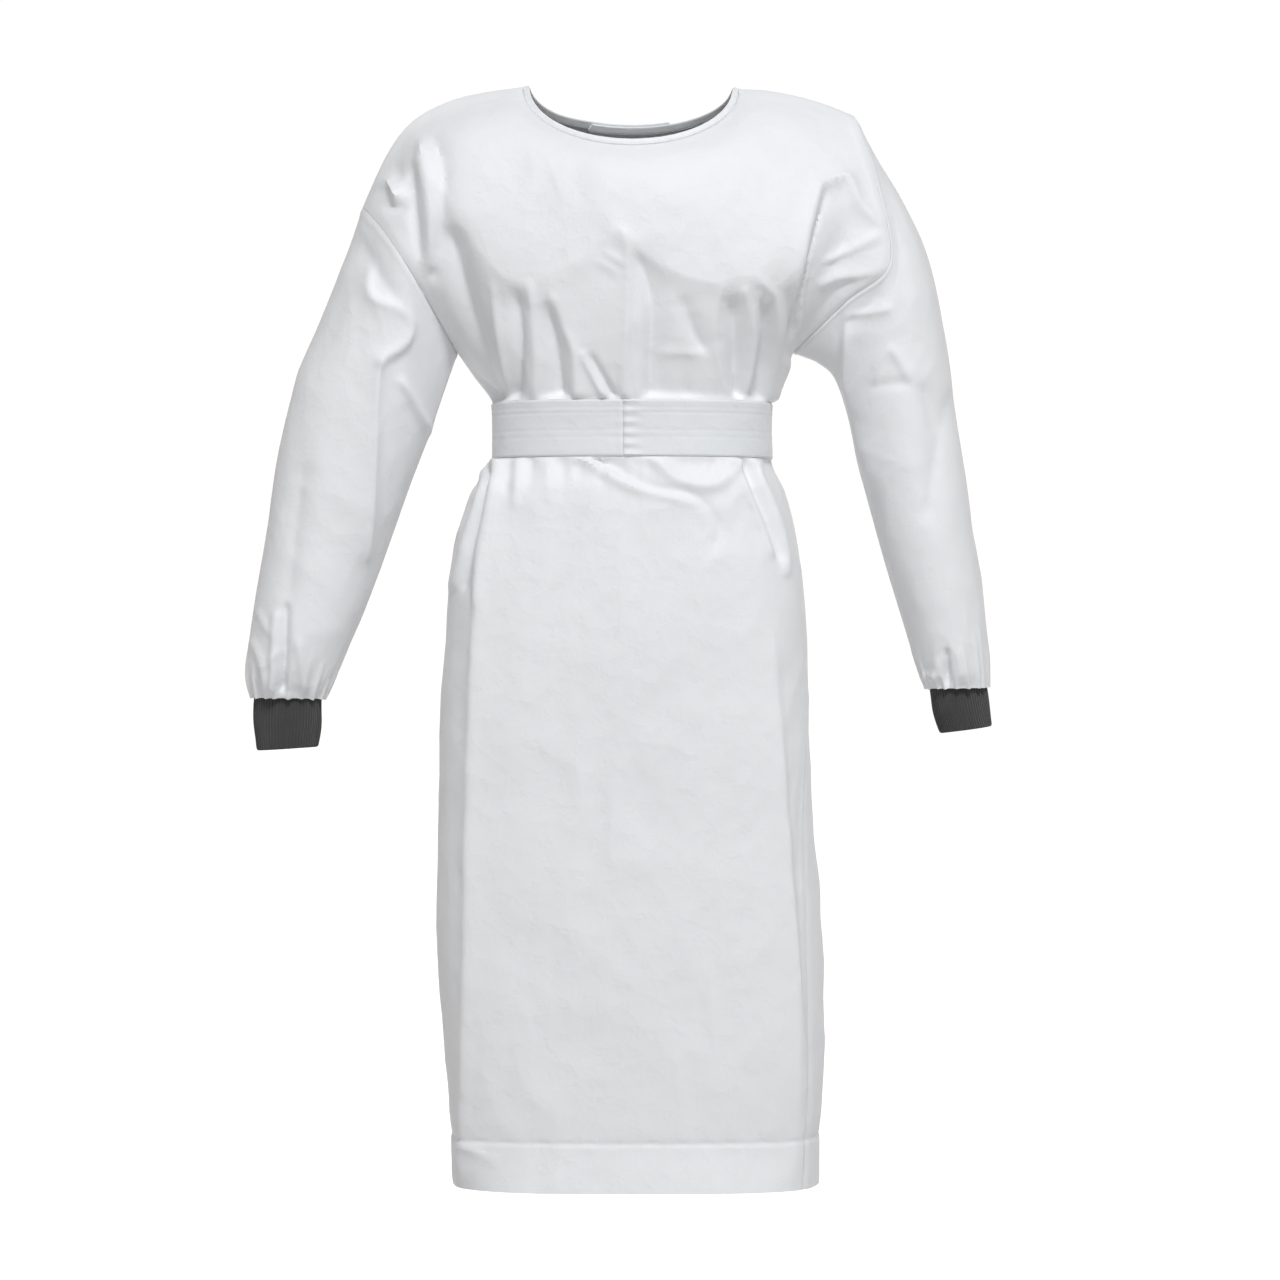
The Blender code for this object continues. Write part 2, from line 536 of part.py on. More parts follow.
def parted(points, normals, closed):
    """The grid with its seamed edges drawn in by their share of the gap, square to each seam."""
    result = points.copy()

    def draw_in(edge, inner):
        tangent = np.gradient(points[edge], axis=0)
        if closed:
            tangent = np.roll(points[edge], -1, axis=0) - np.roll(points[edge], 1, axis=0)
        step = np.cross(normals[edge], tangent)
        step /= np.linalg.norm(step, axis=1, keepdims=True)
        step *= np.sign(np.sum(step * (points[inner] - points[edge]), axis=1, keepdims=True))
        result[edge] += step * SEAM_GAP * SEAM_SHARE

    draw_in(0, 1)
    if not closed:
        every = slice(None)
        draw_in((every, 0), (every, 1))
        draw_in((every, -1), (every, -2))
    return result


def finish_material(name, colour, roughness):
    material = bpy.data.materials.new(name)
    material.use_nodes = True
    shader = material.node_tree.nodes["Principled BSDF"]
    shader.inputs["Base Color"].default_value = (*colour, 1)
    shader.inputs["Roughness"].default_value = roughness
    shader.inputs["Metallic"].default_value = 0
    return material


# A slanted direction. The lower of two rim points along it starts the strip's diagonal.
RIM_SPLIT = Vector((0.3, 0.5, 0.8))


def wall(name, outer, inner, colour, roughness=0.7, closed=False):
    """A closed wall between two matching grids of points. A closed one joins its last column to its first."""
    rows, columns = outer.shape[:2]
    shape = bmesh.new()
    grids = [[[shape.verts.new(point) for point in row] for row in grid] for grid in (outer, inner)]
    spans = columns if closed else columns - 1

    for grid in grids:
        for row in range(rows - 1):
            for column in range(spans):
                after = (column + 1) % columns
                a, b = grid[row][column], grid[row][after]
                c, d = grid[row + 1][after], grid[row + 1][column]
                shape.faces.new((a, b, c))
                shape.faces.new((a, c, d))

    def rim(one, other):
        """The strip between two neighbouring edge points. Both sides of a seam are split alike."""
        if one[0].co.dot(RIM_SPLIT) > other[0].co.dot(RIM_SPLIT):
            one, other = other, one
        shape.faces.new((one[0], other[0], one[1]))
        shape.faces.new((other[0], other[1], one[1]))

    # Each edge point, as its outer and its inner one
    pairs = [list(zip(*rows_of_both)) for rows_of_both in zip(*grids)]
    for column in range(spans):
        for row in (0, -1):
            rim(pairs[row][column], pairs[row][(column + 1) % columns])
    if not closed:
        for row in range(rows - 1):
            for column in (0, -1):
                rim(pairs[row][column], pairs[row + 1][column])
    bmesh.ops.recalc_face_normals(shape, faces=shape.faces)
    mesh = bpy.data.meshes.new(name)
    shape.to_mesh(mesh)
    shape.free()
    mesh.shade_smooth()
    mesh.materials.append(finish_material(name, colour, roughness))
    made = bpy.data.objects.new(name, mesh)
    bpy.data.collections["surgical_gown"].objects.link(made)
    return made


WHITE = (0.80, 0.81, 0.82)
BELT_WHITE = (0.76, 0.77, 0.79)
KNIT_GREY = (0.045, 0.045, 0.042)


def lapped(points, normals, start):
    """The left back's points, moved out where it laps over the right back, from this column on."""
    raise_by = LAP * np.clip((np.arange(points.shape[1]) - start) / LAP_RAMP + 1, 0, 1)
    return points + normals * raise_by[None, :, None]


def build_cloth():
    """The front, the two backs and the sleeves, which share their seams."""
    front = panel(False, FRONT_NECK_CELLS, FRONT_FOLDS)
    back = panel(True, BACK_NECK_CELLS, BACK_FOLDS)
    back_cells = back.shape[1] - 1
    middle_column = back_cells // 2
    left_end = middle_column + LAP_CELLS
    right_start = middle_column - LAP_CELLS
    grids = {
        "front": front,
        "back_left": back[:, : left_end + 1],
        "back_right": back[:, right_start:],
        "sleeve_left": sleeve(SLEEVE_LEFT, ARMHOLE_LEFT, LEFT_SLEEVE_FOLDS),
        "sleeve_right": sleeve(SLEEVE_RIGHT, ARMHOLE_RIGHT, RIGHT_SLEEVE_FOLDS),
    }
    normals = {}
    for name, points in grids.items():
        closed = name.startswith("sleeve")
        middle = points.mean(axis=1, keepdims=True) if closed else points * (0, 0, 1)
        normals[name] = outward(points, middle, closed)
    share_normals(grids, normals)
    grids["back_left"] = lapped(grids["back_left"], normals["back_left"], right_start)
    for name, points in grids.items():
        closed = name.startswith("sleeve")
        outer = parted(points, normals[name], closed)
        wall(name, outer, outer - normals[name] * CLOTH, WHITE, closed=closed)
    return grids, normals


def build_binding(grids, normals):
    """The folded strip round the neck. Its ends lap at the back, as the two backs do."""
    right = slice(0, -SHOULDER_CELLS)
    neck = slice(SHOULDER_CELLS + FRONT_NECK_CELLS - 1, SHOULDER_CELLS, -1)
    left = slice(SHOULDER_CELLS, None)
    parts = (("back_right", right), ("front", neck), ("back_left", left))
    edge = np.concatenate([grids[name][0, columns] for name, columns in parts])
    facing = np.concatenate([normals[name][0, columns] for name, columns in parts])
    inward = -(edge - (0, NECK_BACK_OF_ORIGIN, 0)) * (1, 1, 0)
    inward /= np.linalg.norm(inward, axis=1, keepdims=True)
    lean = 0.35 + 0.55 * np.clip(np.abs(edge[:, :1]) / NECK_HALF, 0, 1) ** 2
    rise = inward * lean + np.array([0, 0, 1]) * np.sqrt(1 - lean**2)
    low = edge + rise * BINDING_GAP
    high = edge + rise * BINDING_WIDTH
    face = np.cross(np.gradient(edge, axis=0), rise)
    face /= np.linalg.norm(face, axis=1, keepdims=True)
    if np.sum(face * inward) > 0:
        face = -face
    proud = (BINDING_THICK - CLOTH) / 2
    outer = np.stack([high + face * proud, low + facing * proud])
    inner = np.stack([high + face * (proud - BINDING_THICK), low + facing * (proud - BINDING_THICK)])
    wall("neck_binding", outer, inner, WHITE)


def belt_base(grids):
    """The gown's outermost points under the belt, by rows, round from the front's left edge."""
    top = ARMHOLE_CELLS + BODY_DROPS.index(BELT_TOP)
    rows = slice(top, top + 3)
    front = grids["front"][rows]
    left = grids["back_left"][rows]
    right = grids["back_right"][rows, 2 * LAP_CELLS + 1 :]
    edge = BELT_EDGE / (BODY_DROPS[BODY_DROPS.index(BELT_TOP) + 1] - BELT_TOP)
    loops = [front, left, right]
    for loop in loops:
        loop[0] += (loop[1] - loop[0]) * edge
        loop[2] += (loop[1] - loop[2]) * edge
    return front, left, right


def build_belt(grids):
    """The belt's two halves, from its seam in front round to the knot behind."""
    front, left, right = (part.copy() for part in belt_base(grids))
    places = front[1, :, 0]
    at = np.interp(BELT_SEAM_X, places, np.arange(len(places)))
    before = int(at)
    seam = front[:, before] + (front[:, before + 1] - front[:, before]) * (at - before)
    centre = left.shape[1] - 1 - LAP_CELLS
    halves = {
        "belt_left": (seam[:, None], front[:, before:0:-1], left[:, : centre + 1]),
        "belt_right": (seam[:, None], front[:, before + 1 :], right[:, -2::-1], left[:, : centre - 1 : -1]),
    }
    for name, parts in halves.items():
        base = np.concatenate(parts, axis=1)
        for end, beside in ((0, 1), (-1, -2)):
            step = base[:, beside] - base[:, end]
            base[:, end] += step / np.linalg.norm(step, axis=1, keepdims=True) * SEAM_GAP / 2
        along = np.gradient(base, axis=1) * (1, 1, 0)
        face = np.cross(along, (0, 0, 1))
        face /= np.linalg.norm(face, axis=2, keepdims=True)
        if np.sum(face * base) < 0:
            face = -face
        wall(name, base + face * (SEAM_GAP + BELT_THICK), base + face * SEAM_GAP, BELT_WHITE)
    return left[1, centre] + (0, SEAM_GAP + BELT_THICK, 0)


def back_surface(x, drop):
    """How far back the outer layer of the back lies."""
    row = read_table(BODY, "drop", drop)
    across = np.abs(2 * x - row.left - row.right) / (row.right - row.left)
    return row.back * (1 - across**BACK_SQUARE) ** (1 / BACK_SQUARE) + LAP


def build_knot(seat):
    """The belt's knot, and the two loose ends that hang from it."""
    half = np.array(KNOT_SIZE) / 2
    middle = seat + (0, SEAM_GAP + half[1], 0)
    shape = bmesh.new()
    bmesh.ops.create_uvsphere(shape, u_segments=16, v_segments=10, radius=1)
    for vertex in shape.verts:
        full = np.sign(vertex.co) * np.abs(vertex.co) ** KNOT_ROUNDNESS
        waist = 1 - KNOT_WAIST * math.cos(math.pi * full[0] / 2) * abs(full[2])
        vertex.co = middle + half * full * (1, 1, waist)
    mesh = bpy.data.meshes.new("belt_knot")
    shape.to_mesh(mesh)
    shape.free()
    mesh.shade_smooth()
    mesh.materials.append(finish_material("belt_knot", BELT_WHITE, 0.7))
    made = bpy.data.objects.new("belt_knot", mesh)
    bpy.data.collections["surgical_gown"].objects.link(made)
    top = SEAM_GAP - min(vertex.co.z for vertex in mesh.vertices)
    for name, straps in (("belt_tail_left", TAIL_LEFT), ("belt_tail_right", TAIL_RIGHT)):
        rows = []
        for run in np.linspace(0, straps[-1].drop, TAIL_ROWS + 1):
            strap = read_table(straps, "drop", run)
            x = strap.x + strap.width * np.linspace(-0.5, 0.5, TAIL_COLUMNS + 1)
            y = back_surface(x, top + run) + strap.stand
            rows.append(np.column_stack([x, y, np.full_like(x, -top - run)]))
        points = np.stack(rows)
        face = outward(points, points * (0, 0, 1))
        wall(name, points + face * CLOTH, points, BELT_WHITE)


def build_cuff(name, rings):
    """A knitted tube with ribs raised round its outside."""
    columns = 2 * CUFF_RIBS
    angles = np.arange(columns) * 2 * math.pi / columns
    points = np.stack([sleeve_ring(rings, at, angles, None) for at in np.linspace(0, 2, 4)])
    normals = outward(points, points.mean(axis=1, keepdims=True), closed=True)
    ribs = RIB_HEIGHT * (np.arange(columns) % 2)
    outer = points + normals * ribs[None, :, None]
    wall(name, outer, points - normals * CLOTH, KNIT_GREY, 0.9, closed=True)


def start_scene():
    for old in list(bpy.data.objects):
        bpy.data.objects.remove(old)
    collection = bpy.data.collections.new("surgical_gown")
    bpy.context.scene.collection.children.link(collection)


start_scene()
cloth_points, cloth_normals = build_cloth()
build_binding(cloth_points, cloth_normals)
build_knot(build_belt(cloth_points))
build_cuff("cuff_left", CUFF_LEFT)
build_cuff("cuff_right", CUFF_RIGHT)
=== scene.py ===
"""The looks of a white surgical gown that is filled out as worn, with nobody in it.

Metres, +Z up. X runs to the viewer's right and the front faces -Y. The origin is in the middle of the
neck opening, level with the two neck points.
"""

import math
from collections import namedtuple

import bpy
import numpy as np
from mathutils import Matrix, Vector, noise


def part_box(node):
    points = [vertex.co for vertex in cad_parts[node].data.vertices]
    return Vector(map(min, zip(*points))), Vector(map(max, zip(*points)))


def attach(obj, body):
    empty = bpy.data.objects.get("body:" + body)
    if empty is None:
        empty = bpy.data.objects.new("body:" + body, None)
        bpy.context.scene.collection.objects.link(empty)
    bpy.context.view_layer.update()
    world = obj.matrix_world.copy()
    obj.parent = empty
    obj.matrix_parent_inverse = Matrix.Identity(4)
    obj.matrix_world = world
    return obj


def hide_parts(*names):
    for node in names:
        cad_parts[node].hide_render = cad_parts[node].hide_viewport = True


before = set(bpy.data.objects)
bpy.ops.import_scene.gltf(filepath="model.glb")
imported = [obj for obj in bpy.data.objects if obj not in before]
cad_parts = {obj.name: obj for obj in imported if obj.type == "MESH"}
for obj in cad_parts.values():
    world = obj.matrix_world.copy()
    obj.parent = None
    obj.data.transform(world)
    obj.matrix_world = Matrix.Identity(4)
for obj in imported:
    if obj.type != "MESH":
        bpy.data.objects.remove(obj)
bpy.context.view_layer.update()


# Camera
# A long lens, level with the gown's middle and straight in front of it. The frame takes in a little
# more than the gown, and the gown's folds are placed below as this eye sees them.
EYE = (0.010, -4.5, -0.609)
FRAME_WIDTH = 1.408

camera = bpy.data.objects.new("camera", bpy.data.cameras.new("camera"))
camera.location = EYE
camera.rotation_euler = (math.radians(90), 0, 0)
camera.data.sensor_width = 36
camera.data.lens = camera.data.sensor_width * -EYE[1] / FRAME_WIDTH
bpy.context.scene.collection.objects.link(camera)
bpy.context.scene.camera = camera


# Gown cloth
# The cloth is a crisp white laminate: a fine weave under a smooth film. It keeps the small crumples of
# having been folded flat, and its tints hardly differ.
CLOTH_THICK = 0.0011
THREAD = 0.0009


class Value:
    """A socket that takes part in sums. An expression on values adds its Math nodes."""

    def __init__(self, tree, socket):
        self.tree, self.socket = tree, socket

    def math(self, operation, *others):
        return add_node(self.tree, "ShaderNodeMath", {"operation": operation}, self, *others)

    def __add__(self, other):
        return self.math("ADD", other)

    def __sub__(self, other):
        return self.math("SUBTRACT", other)

    def __rsub__(self, other):
        return self * -1 + other

    def __mul__(self, other):
        return self.math("MULTIPLY", other)

    __radd__ = __add__
    __rmul__ = __mul__


def add_node(tree, kind, settings, *inputs, output=0, **named):
    """Adds a node with its settings, then the values or links of its sockets. Gives one output."""
    made = tree.nodes.new(kind)
    for key, value in settings.items():
        setattr(made, key, value)
    filled = dict(enumerate(inputs)) | {key.replace("_", " "): value for key, value in named.items()}
    for key, value in filled.items():
        if isinstance(value, Value):
            tree.links.new(value.socket, made.inputs[key])
        elif value is not None:
            made.inputs[key].default_value = value
    return Value(tree, made.outputs[output])


def new_finish(name, colour, roughness, **constant):
    """A material with its Principled shader, whose other sockets keep one value all over."""
    material = bpy.data.materials.new(name)
    material.use_nodes = True
    shader = material.node_tree.nodes["Principled BSDF"]
    shader.inputs["Base Color"].default_value = (*colour, 1)
    shader.inputs["Roughness"].default_value = roughness
    for key, value in constant.items():
        shader.inputs[key.replace("_", " ")].default_value = value
    return material, material.node_tree, shader


def feed(tree, shader, **sockets):
    for key, value in sockets.items():
        tree.links.new(value.socket, shader.inputs[key.replace("_", " ")])


def mixed(tree, factor, dark, light):
    """A colour between two, by a factor from 0 to 1."""
    colours = [None] * 8
    colours[0], colours[6], colours[7] = factor, (*dark, 1), (*light, 1)
    return add_node(tree, "ShaderNodeMix", {"data_type": "RGBA", "clamp_factor": True}, *colours, output=2)


def noise_of(tree, place, scale, detail=3.0, rough=0.55):
    return add_node(
        tree, "ShaderNodeTexNoise", {}, None, Vector=place, Scale=scale, Detail=detail, Roughness=rough
    )


def woven(tree, thread):
    """The heights of a plain weave, over and under, laid out on the cut cloth."""
    cut = add_node(tree, "ShaderNodeUVMap", {"uv_map": "cut"})
    across = add_node(tree, "ShaderNodeSeparateXYZ", {}, cut, output=0)
    down = add_node(tree, "ShaderNodeSeparateXYZ", {}, cut, output=1)
    turn = 2 * math.pi / thread
    return (across * turn).math("SINE") * (down * turn).math("SINE")


def new_cloth(name, dark, light, roughness):
    material, tree, shader = new_finish(name, light, roughness, Sheen_Weight=0.10, Sheen_Roughness=0.5)
    place = add_node(tree, "ShaderNodeTexCoord", {}, output=3)
    film = noise_of(tree, place, 260.0)
    crinkle = noise_of(tree, place, 30.0, 5.0)
    push = add_node(tree, "ShaderNodeVectorMath", {"operation": "SCALE"}, crinkle, Scale=0.03)
    pushed = add_node(tree, "ShaderNodeVectorMath", {"operation": "ADD"}, place, push)
    facets = add_node(tree, "ShaderNodeTexVoronoi", {}, pushed, Scale=44.0)
    patches = noise_of(tree, place, 5.0, 4.0)
    height = woven(tree, THREAD) * 0.03 + film * 0.14 + crinkle * 1.1 + facets * 0.7
    bump = add_node(tree, "ShaderNodeBump", {}, Strength=0.7, Distance=0.0014, Height=height)
    # The tint varies at random in broad patches, and is partly painted shade: darker where the crinkles' bump
    # sinks.
    tint_and_painted_shade = mixed(tree, patches * 0.7 + crinkle * 0.3, dark, light)
    sheen = film * 0.12 + patches * 0.12 + (roughness - 0.12)
    feed(tree, shader, Base_Color=tint_and_painted_shade, Normal=bump, Roughness=sheen)
    return material


gown_white = new_cloth("gown_white", (0.73, 0.735, 0.750), (0.805, 0.808, 0.820), 0.58)


# The worn form
# The gown is filled out as by a figure with sloping shoulders and a narrow waist. Every panel lies on
# this one form, so that panels meet along their seams. These sizes are the solids' own.
SEAM_GAP = 0.0003
HEM_DROP = 1.2
HEM_TURN = 0.052
ARMPIT_DROP = 0.293
BELT_TOP = 0.3495
BELT_BOTTOM = 0.4115
NECK_HALF = 0.119
NECK_BACK_OF_ORIGIN = 0.005
NECK_FRONT_REACH = 0.087
NECK_FRONT_DROP = 0.0735
NECK_BACK_REACH = 0.055
NECK_BACK_DROP = 0.044
BACK_SQUARE = 2.4
CHEST_FULLNESS = 0.8
SHOULDER_ROUNDING = 2.6
FRONT_SWELL = 0.050
BACK_SWELL = 0.018
SWELL_SHARE = 0.4

# Cells of the fine grids
SHOULDER_CELLS = 34
FRONT_NECK_CELLS = 116
BACK_NECK_CELLS = 76
ARMHOLE_CELLS = 88

# The body's outline at each drop: its two sides, its depths in front and behind, how square its front
# is, and how far, in degrees, each side seam is turned forward.
Section = namedtuple("Section", "drop left right front back square seam_left seam_right")
BODY = (
    Section(0.293, -0.191, 0.178, 0.115, 0.100, 2.6, 0, 0),
    Section(0.320, -0.172, 0.166, 0.110, 0.098, 2.5, 0, 0),
    Section(0.3495, -0.152, 0.154, 0.103, 0.094, 2.5, 0, 0),
    Section(0.380, -0.151, 0.153, 0.101, 0.093, 2.5, 0, 0),
    Section(0.4115, -0.151, 0.154, 0.103, 0.095, 2.5, 0, 0),
    Section(0.447, -0.177, 0.169, 0.114, 0.110, 2.8, -4, 0),
    Section(0.490, -0.190, 0.180, 0.119, 0.121, 3.0, -6, 0),
    Section(0.545, -0.198, 0.188, 0.125, 0.129, 3.2, -8, 0),
    Section(0.601, -0.202, 0.192, 0.129, 0.132, 3.3, -8, 4),
    Section(0.690, -0.208, 0.195, 0.132, 0.133, 3.4, -8, 14),
    Section(0.807, -0.210, 0.199, 0.134, 0.132, 3.5, -8, 26),
    Section(0.885, -0.213, 0.207, 0.135, 0.131, 3.5, -8, 32),
    Section(0.970, -0.210, 0.211, 0.136, 0.131, 3.5, -8, 34),
    Section(1.063, -0.202, 0.212, 0.136, 0.131, 3.5, -8, 34),
    Section(1.148, -0.195, 0.209, 0.133, 0.131, 3.5, -8, 34),
    Section(1.200, -0.187, 0.203, 0.139, 0.131, 3.5, -8, 34),
)
# The shoulder seams from the neck point to the armhole
Knot = namedtuple("Knot", "x y z")
SHOULDER_LEFT = (
    Knot(-0.119, 0.005, 0.000),
    Knot(-0.160, 0.003, -0.006),
    Knot(-0.200, 0.001, -0.016),
    Knot(-0.240, 0.000, -0.038),
    Knot(-0.268, 0.000, -0.074),
    Knot(-0.295, 0.000, -0.133),
)
SHOULDER_RIGHT = (
    Knot(0.119, 0.005, -0.002),
    Knot(0.150, 0.004, -0.004),
    Knot(0.182, 0.004, -0.010),
    Knot(0.214, 0.005, -0.019),
    Knot(0.246, 0.005, -0.032),
)

# The armhole seams, each from the shoulder tip round by the front, the armpit and the back
ARMHOLE_LEFT = (
    Knot(-0.295, 0.000, -0.133),
    Knot(-0.273, -0.046, -0.158),
    Knot(-0.248, -0.068, -0.194),
    Knot(-0.221, -0.050, -0.240),
    Knot(-0.191, 0.000, -0.293),
    Knot(-0.216, 0.050, -0.246),
    Knot(-0.250, 0.072, -0.196),
    Knot(-0.279, 0.050, -0.154),
)
ARMHOLE_RIGHT = (
    Knot(0.246, 0.005, -0.032),
    Knot(0.266, -0.040, -0.104),
    Knot(0.281, -0.064, -0.198),
    Knot(0.234, -0.052, -0.241),
    Knot(0.178, 0.000, -0.293),
    Knot(0.226, 0.052, -0.244),
    Knot(0.262, 0.076, -0.176),
    Knot(0.262, 0.048, -0.092),
)


def smooth_path(knots, at, closed=False):
    """Points on a smooth curve through the knots. The places run from 0 to the number of spans."""
    knots = np.asarray(knots, float)
    at = np.asarray(at, float)
    last = len(knots) - 1
    span = np.floor(at).astype(int)
    if not closed:
        span = np.clip(span, 0, last - 1)
    along = (at - span)[..., None]

    def knot(index):
        return knots[index % len(knots)] if closed else knots[np.clip(index, 0, last)]

    before, start, end, after = (knot(span + offset) for offset in (-1, 0, 1, 2))
    return 0.5 * (
        2 * start
        + (end - before) * along
        + (2 * before - 5 * start + 4 * end - after) * along**2
        + (3 * start - before - 3 * end + after) * along**3
    )


def read_table(table, column, at):
    """A table's rows at other values of one column, on a curve that never swings past its rows."""
    values = np.asarray(table, float)
    knots = values[:, table[0]._fields.index(column)]
    step = np.diff(knots)
    slope = np.diff(values, axis=0) / step[:, None]
    tangent = np.zeros_like(values)
    tangent[0], tangent[-1] = slope[0], slope[-1]
    product = slope[:-1] * slope[1:]
    total = slope[:-1] + slope[1:]
    rising = product > 0
    tangent[1:-1][rising] = 2 * product[rising] / total[rising]
    span = int(np.clip(np.searchsorted(knots, at) - 1, 0, len(step) - 1))
    part = (at - knots[span]) / step[span]
    start, end = values[span], values[span + 1]
    row = (
        start * (2 * part**3 - 3 * part**2 + 1)
        + end * (3 * part**2 - 2 * part**3)
        + tangent[span] * step[span] * (part**3 - 2 * part**2 + part)
        + tangent[span + 1] * step[span] * (part**3 - part**2)
    )
    return table[0]._make(row)


def even_points(path, fractions):
    """Points at these fractions of a path's length."""
    steps = np.linalg.norm(np.diff(path, axis=0), axis=1)
    length = np.concatenate([[0.0], np.cumsum(steps)])
    wanted = np.asarray(fractions) * length[-1]
    return np.column_stack([np.interp(wanted, length, path[:, axis]) for axis in range(3)])


def body_ring(drop, behind, cells):
    """The body's outline at one height, from the left side seam to the right one, by front or back."""
    row = read_table(BODY, "drop", drop)
    first = math.pi + math.radians(row.seam_left)
    last = -math.radians(row.seam_right) + (0 if behind else 2 * math.pi)
    angle = np.linspace(first, last, 400)
    power = np.where(np.sin(angle) < 0, 2 / row.square, 2 / BACK_SQUARE)
    depth = np.where(np.sin(angle) < 0, row.front, row.back)
    x = (row.left + row.right) / 2
    x = x + (row.right - row.left) / 2 * np.sign(np.cos(angle)) * np.abs(np.cos(angle)) ** power
    y = depth * np.sign(np.sin(angle)) * np.abs(np.sin(angle)) ** power
    outline = np.column_stack([x, y, np.full_like(x, -drop)])
    return even_points(outline, np.linspace(0, 1, cells + 1))


def neck_curve(behind, cells):
    """The neck seam from the left neck point to the right one, by the front or the back."""
    angle = np.linspace(math.pi, 0, 200)
    reach = NECK_BACK_REACH if behind else -NECK_FRONT_REACH
    fall = NECK_BACK_DROP if behind else NECK_FRONT_DROP
    height = np.interp(angle, [0, math.pi], [SHOULDER_RIGHT[0].z, SHOULDER_LEFT[0].z])
    curve = np.column_stack([
        NECK_HALF * np.cos(angle),
        NECK_BACK_OF_ORIGIN + reach * np.sin(angle),
        height - fall * np.sin(angle),
    ])
    return even_points(curve, np.linspace(0, 1, cells + 1))


def shoulder_curve(knots):
    fine = smooth_path(knots, np.linspace(0, len(knots) - 1, 120))
    return even_points(fine, np.linspace(0, 1, SHOULDER_CELLS + 1))


def top_edge(behind, neck_cells):
    """A panel's top, from the left shoulder tip by the neck seam to the right shoulder tip."""
    left = shoulder_curve(SHOULDER_LEFT)[::-1]
    neck = neck_curve(behind, neck_cells)
    right = shoulder_curve(SHOULDER_RIGHT)
    return np.concatenate([left[:-1], neck, right[1:]])


def armhole_edge(knots, behind):
    """An armhole from the armpit up to the shoulder tip, by the front or the back."""
    rise = np.linspace(0, 1, ARMHOLE_CELLS + 1)
    turn = 4 + 4 * rise if behind else 4 - 4 * rise
    return smooth_path(knots, turn, closed=True)


def chest(behind, neck_cells):
    """The rows of a panel from the armpits up to its top edge."""
    cells = 2 * SHOULDER_CELLS + neck_cells
    bottom = body_ring(ARMPIT_DROP, behind, cells)
    top = top_edge(behind, neck_cells)
    left = armhole_edge(ARMHOLE_LEFT, behind)
    right = armhole_edge(ARMHOLE_RIGHT, behind)
    side = np.linspace(0, 1, cells + 1)[None, :, None]
    rise = np.linspace(0, 1, ARMHOLE_CELLS + 1)[:, None, None]
    corners = (1 - rise) * ((1 - side) * bottom[0] + side * bottom[-1])
    corners = corners + rise * ((1 - side) * top[0] + side * top[-1])
    rows = (1 - rise) * bottom[None] + rise * top[None]
    rows = rows + (1 - side) * left[:, None] + side * right[:, None] - corners

    # The depth follows its own rule: full over the chest, and rounded over to the shoulder seams.
    side, rise = side[..., 0], rise[..., 0]
    edge = (1 - side) * left[:, None, 1] + side * right[:, None, 1]
    middle = bottom[cells // 2, 1]
    swell = (BACK_SWELL if behind else -FRONT_SWELL) * rise * np.exp(-((rise / SWELL_SHARE) ** 2))
    soft = np.sin(math.pi * side) ** CHEST_FULLNESS
    blend = rise**2 * (3 - 2 * rise)
    fullness = (1 - blend) * bottom[None, :, 1] / middle + blend * soft
    at_neck = np.clip(1 - np.abs(top[None, :, 0]) / NECK_HALF, 0, 1) ** 0.5
    rounding = (1 - rise**SHOULDER_ROUNDING) ** (0.5 + 0.5 * at_neck)
    edge_top = (1 - side) * left[-1, 1] + side * right[-1, 1]
    rows[..., 1] = edge + (middle + swell - edge) * fullness * rounding
    rows[..., 1] += (top[None, :, 1] - edge_top) * (1 - rounding)
    return rows


def as_seen(points):
    """The points' places on the plane through the origin, as the eye sees them."""
    reach = EYE[1] / (EYE[1] - points[..., 1])
    x = EYE[0] + (points[..., 0] - EYE[0]) * reach
    z = EYE[2] + (points[..., 2] - EYE[2]) * reach
    return np.stack([x, z], axis=-1)


def outward(points, middle, closed=False):
    """The unit normals of a grid of points, facing away from its middle line."""
    if closed:
        across = np.roll(points, -1, axis=1) - np.roll(points, 1, axis=1)
    else:
        across = np.gradient(points, axis=1)
    along = np.gradient(points, axis=0)
    normals = np.cross(across, along)
    normals /= np.linalg.norm(normals, axis=2, keepdims=True)
    facing = np.sum(normals * (points - middle))
    return normals if facing > 0 else -normals


def steps(start, end, size):
    """Values after the start, up to and with the end, about this far apart."""
    return np.linspace(start, end, round((end - start) / size) + 1)[1:]


# The drop of each row of cells below the armpits: close together round the belt, where the cloth is
# gathered, and further apart down the skirt
GATHERS_END = 0.560
OVER_TURN = HEM_DROP - HEM_TURN - 0.012
UNDER_TURN = HEM_DROP - HEM_TURN + 0.012
BODY_DROPS = np.concatenate([
    steps(ARMPIT_DROP, BELT_TOP, 0.0026),
    steps(BELT_TOP, BELT_BOTTOM, 0.0052),
    steps(BELT_BOTTOM, GATHERS_END, 0.0033),
    steps(GATHERS_END, OVER_TURN, 0.0085),
    steps(OVER_TURN, UNDER_TURN, 0.0020),
    steps(UNDER_TURN, HEM_DROP, 0.0045),
])


# A crease runs along a short path, as the eye sees it. It has two widths: first to the left of a path
# that runs down, or under one that runs right, then on the other side. Then comes how far it stands out
# at its start and its end, where a trough is below zero, and how crisp it is, from 0, soft, to 1. No
# part of one is finer than the grids can hold, or is worked out further off than its reach, in widths.
Crease = namedtuple("Crease", "path width beyond start end crisp")
FINEST = 0.0046
REACH = 2.4


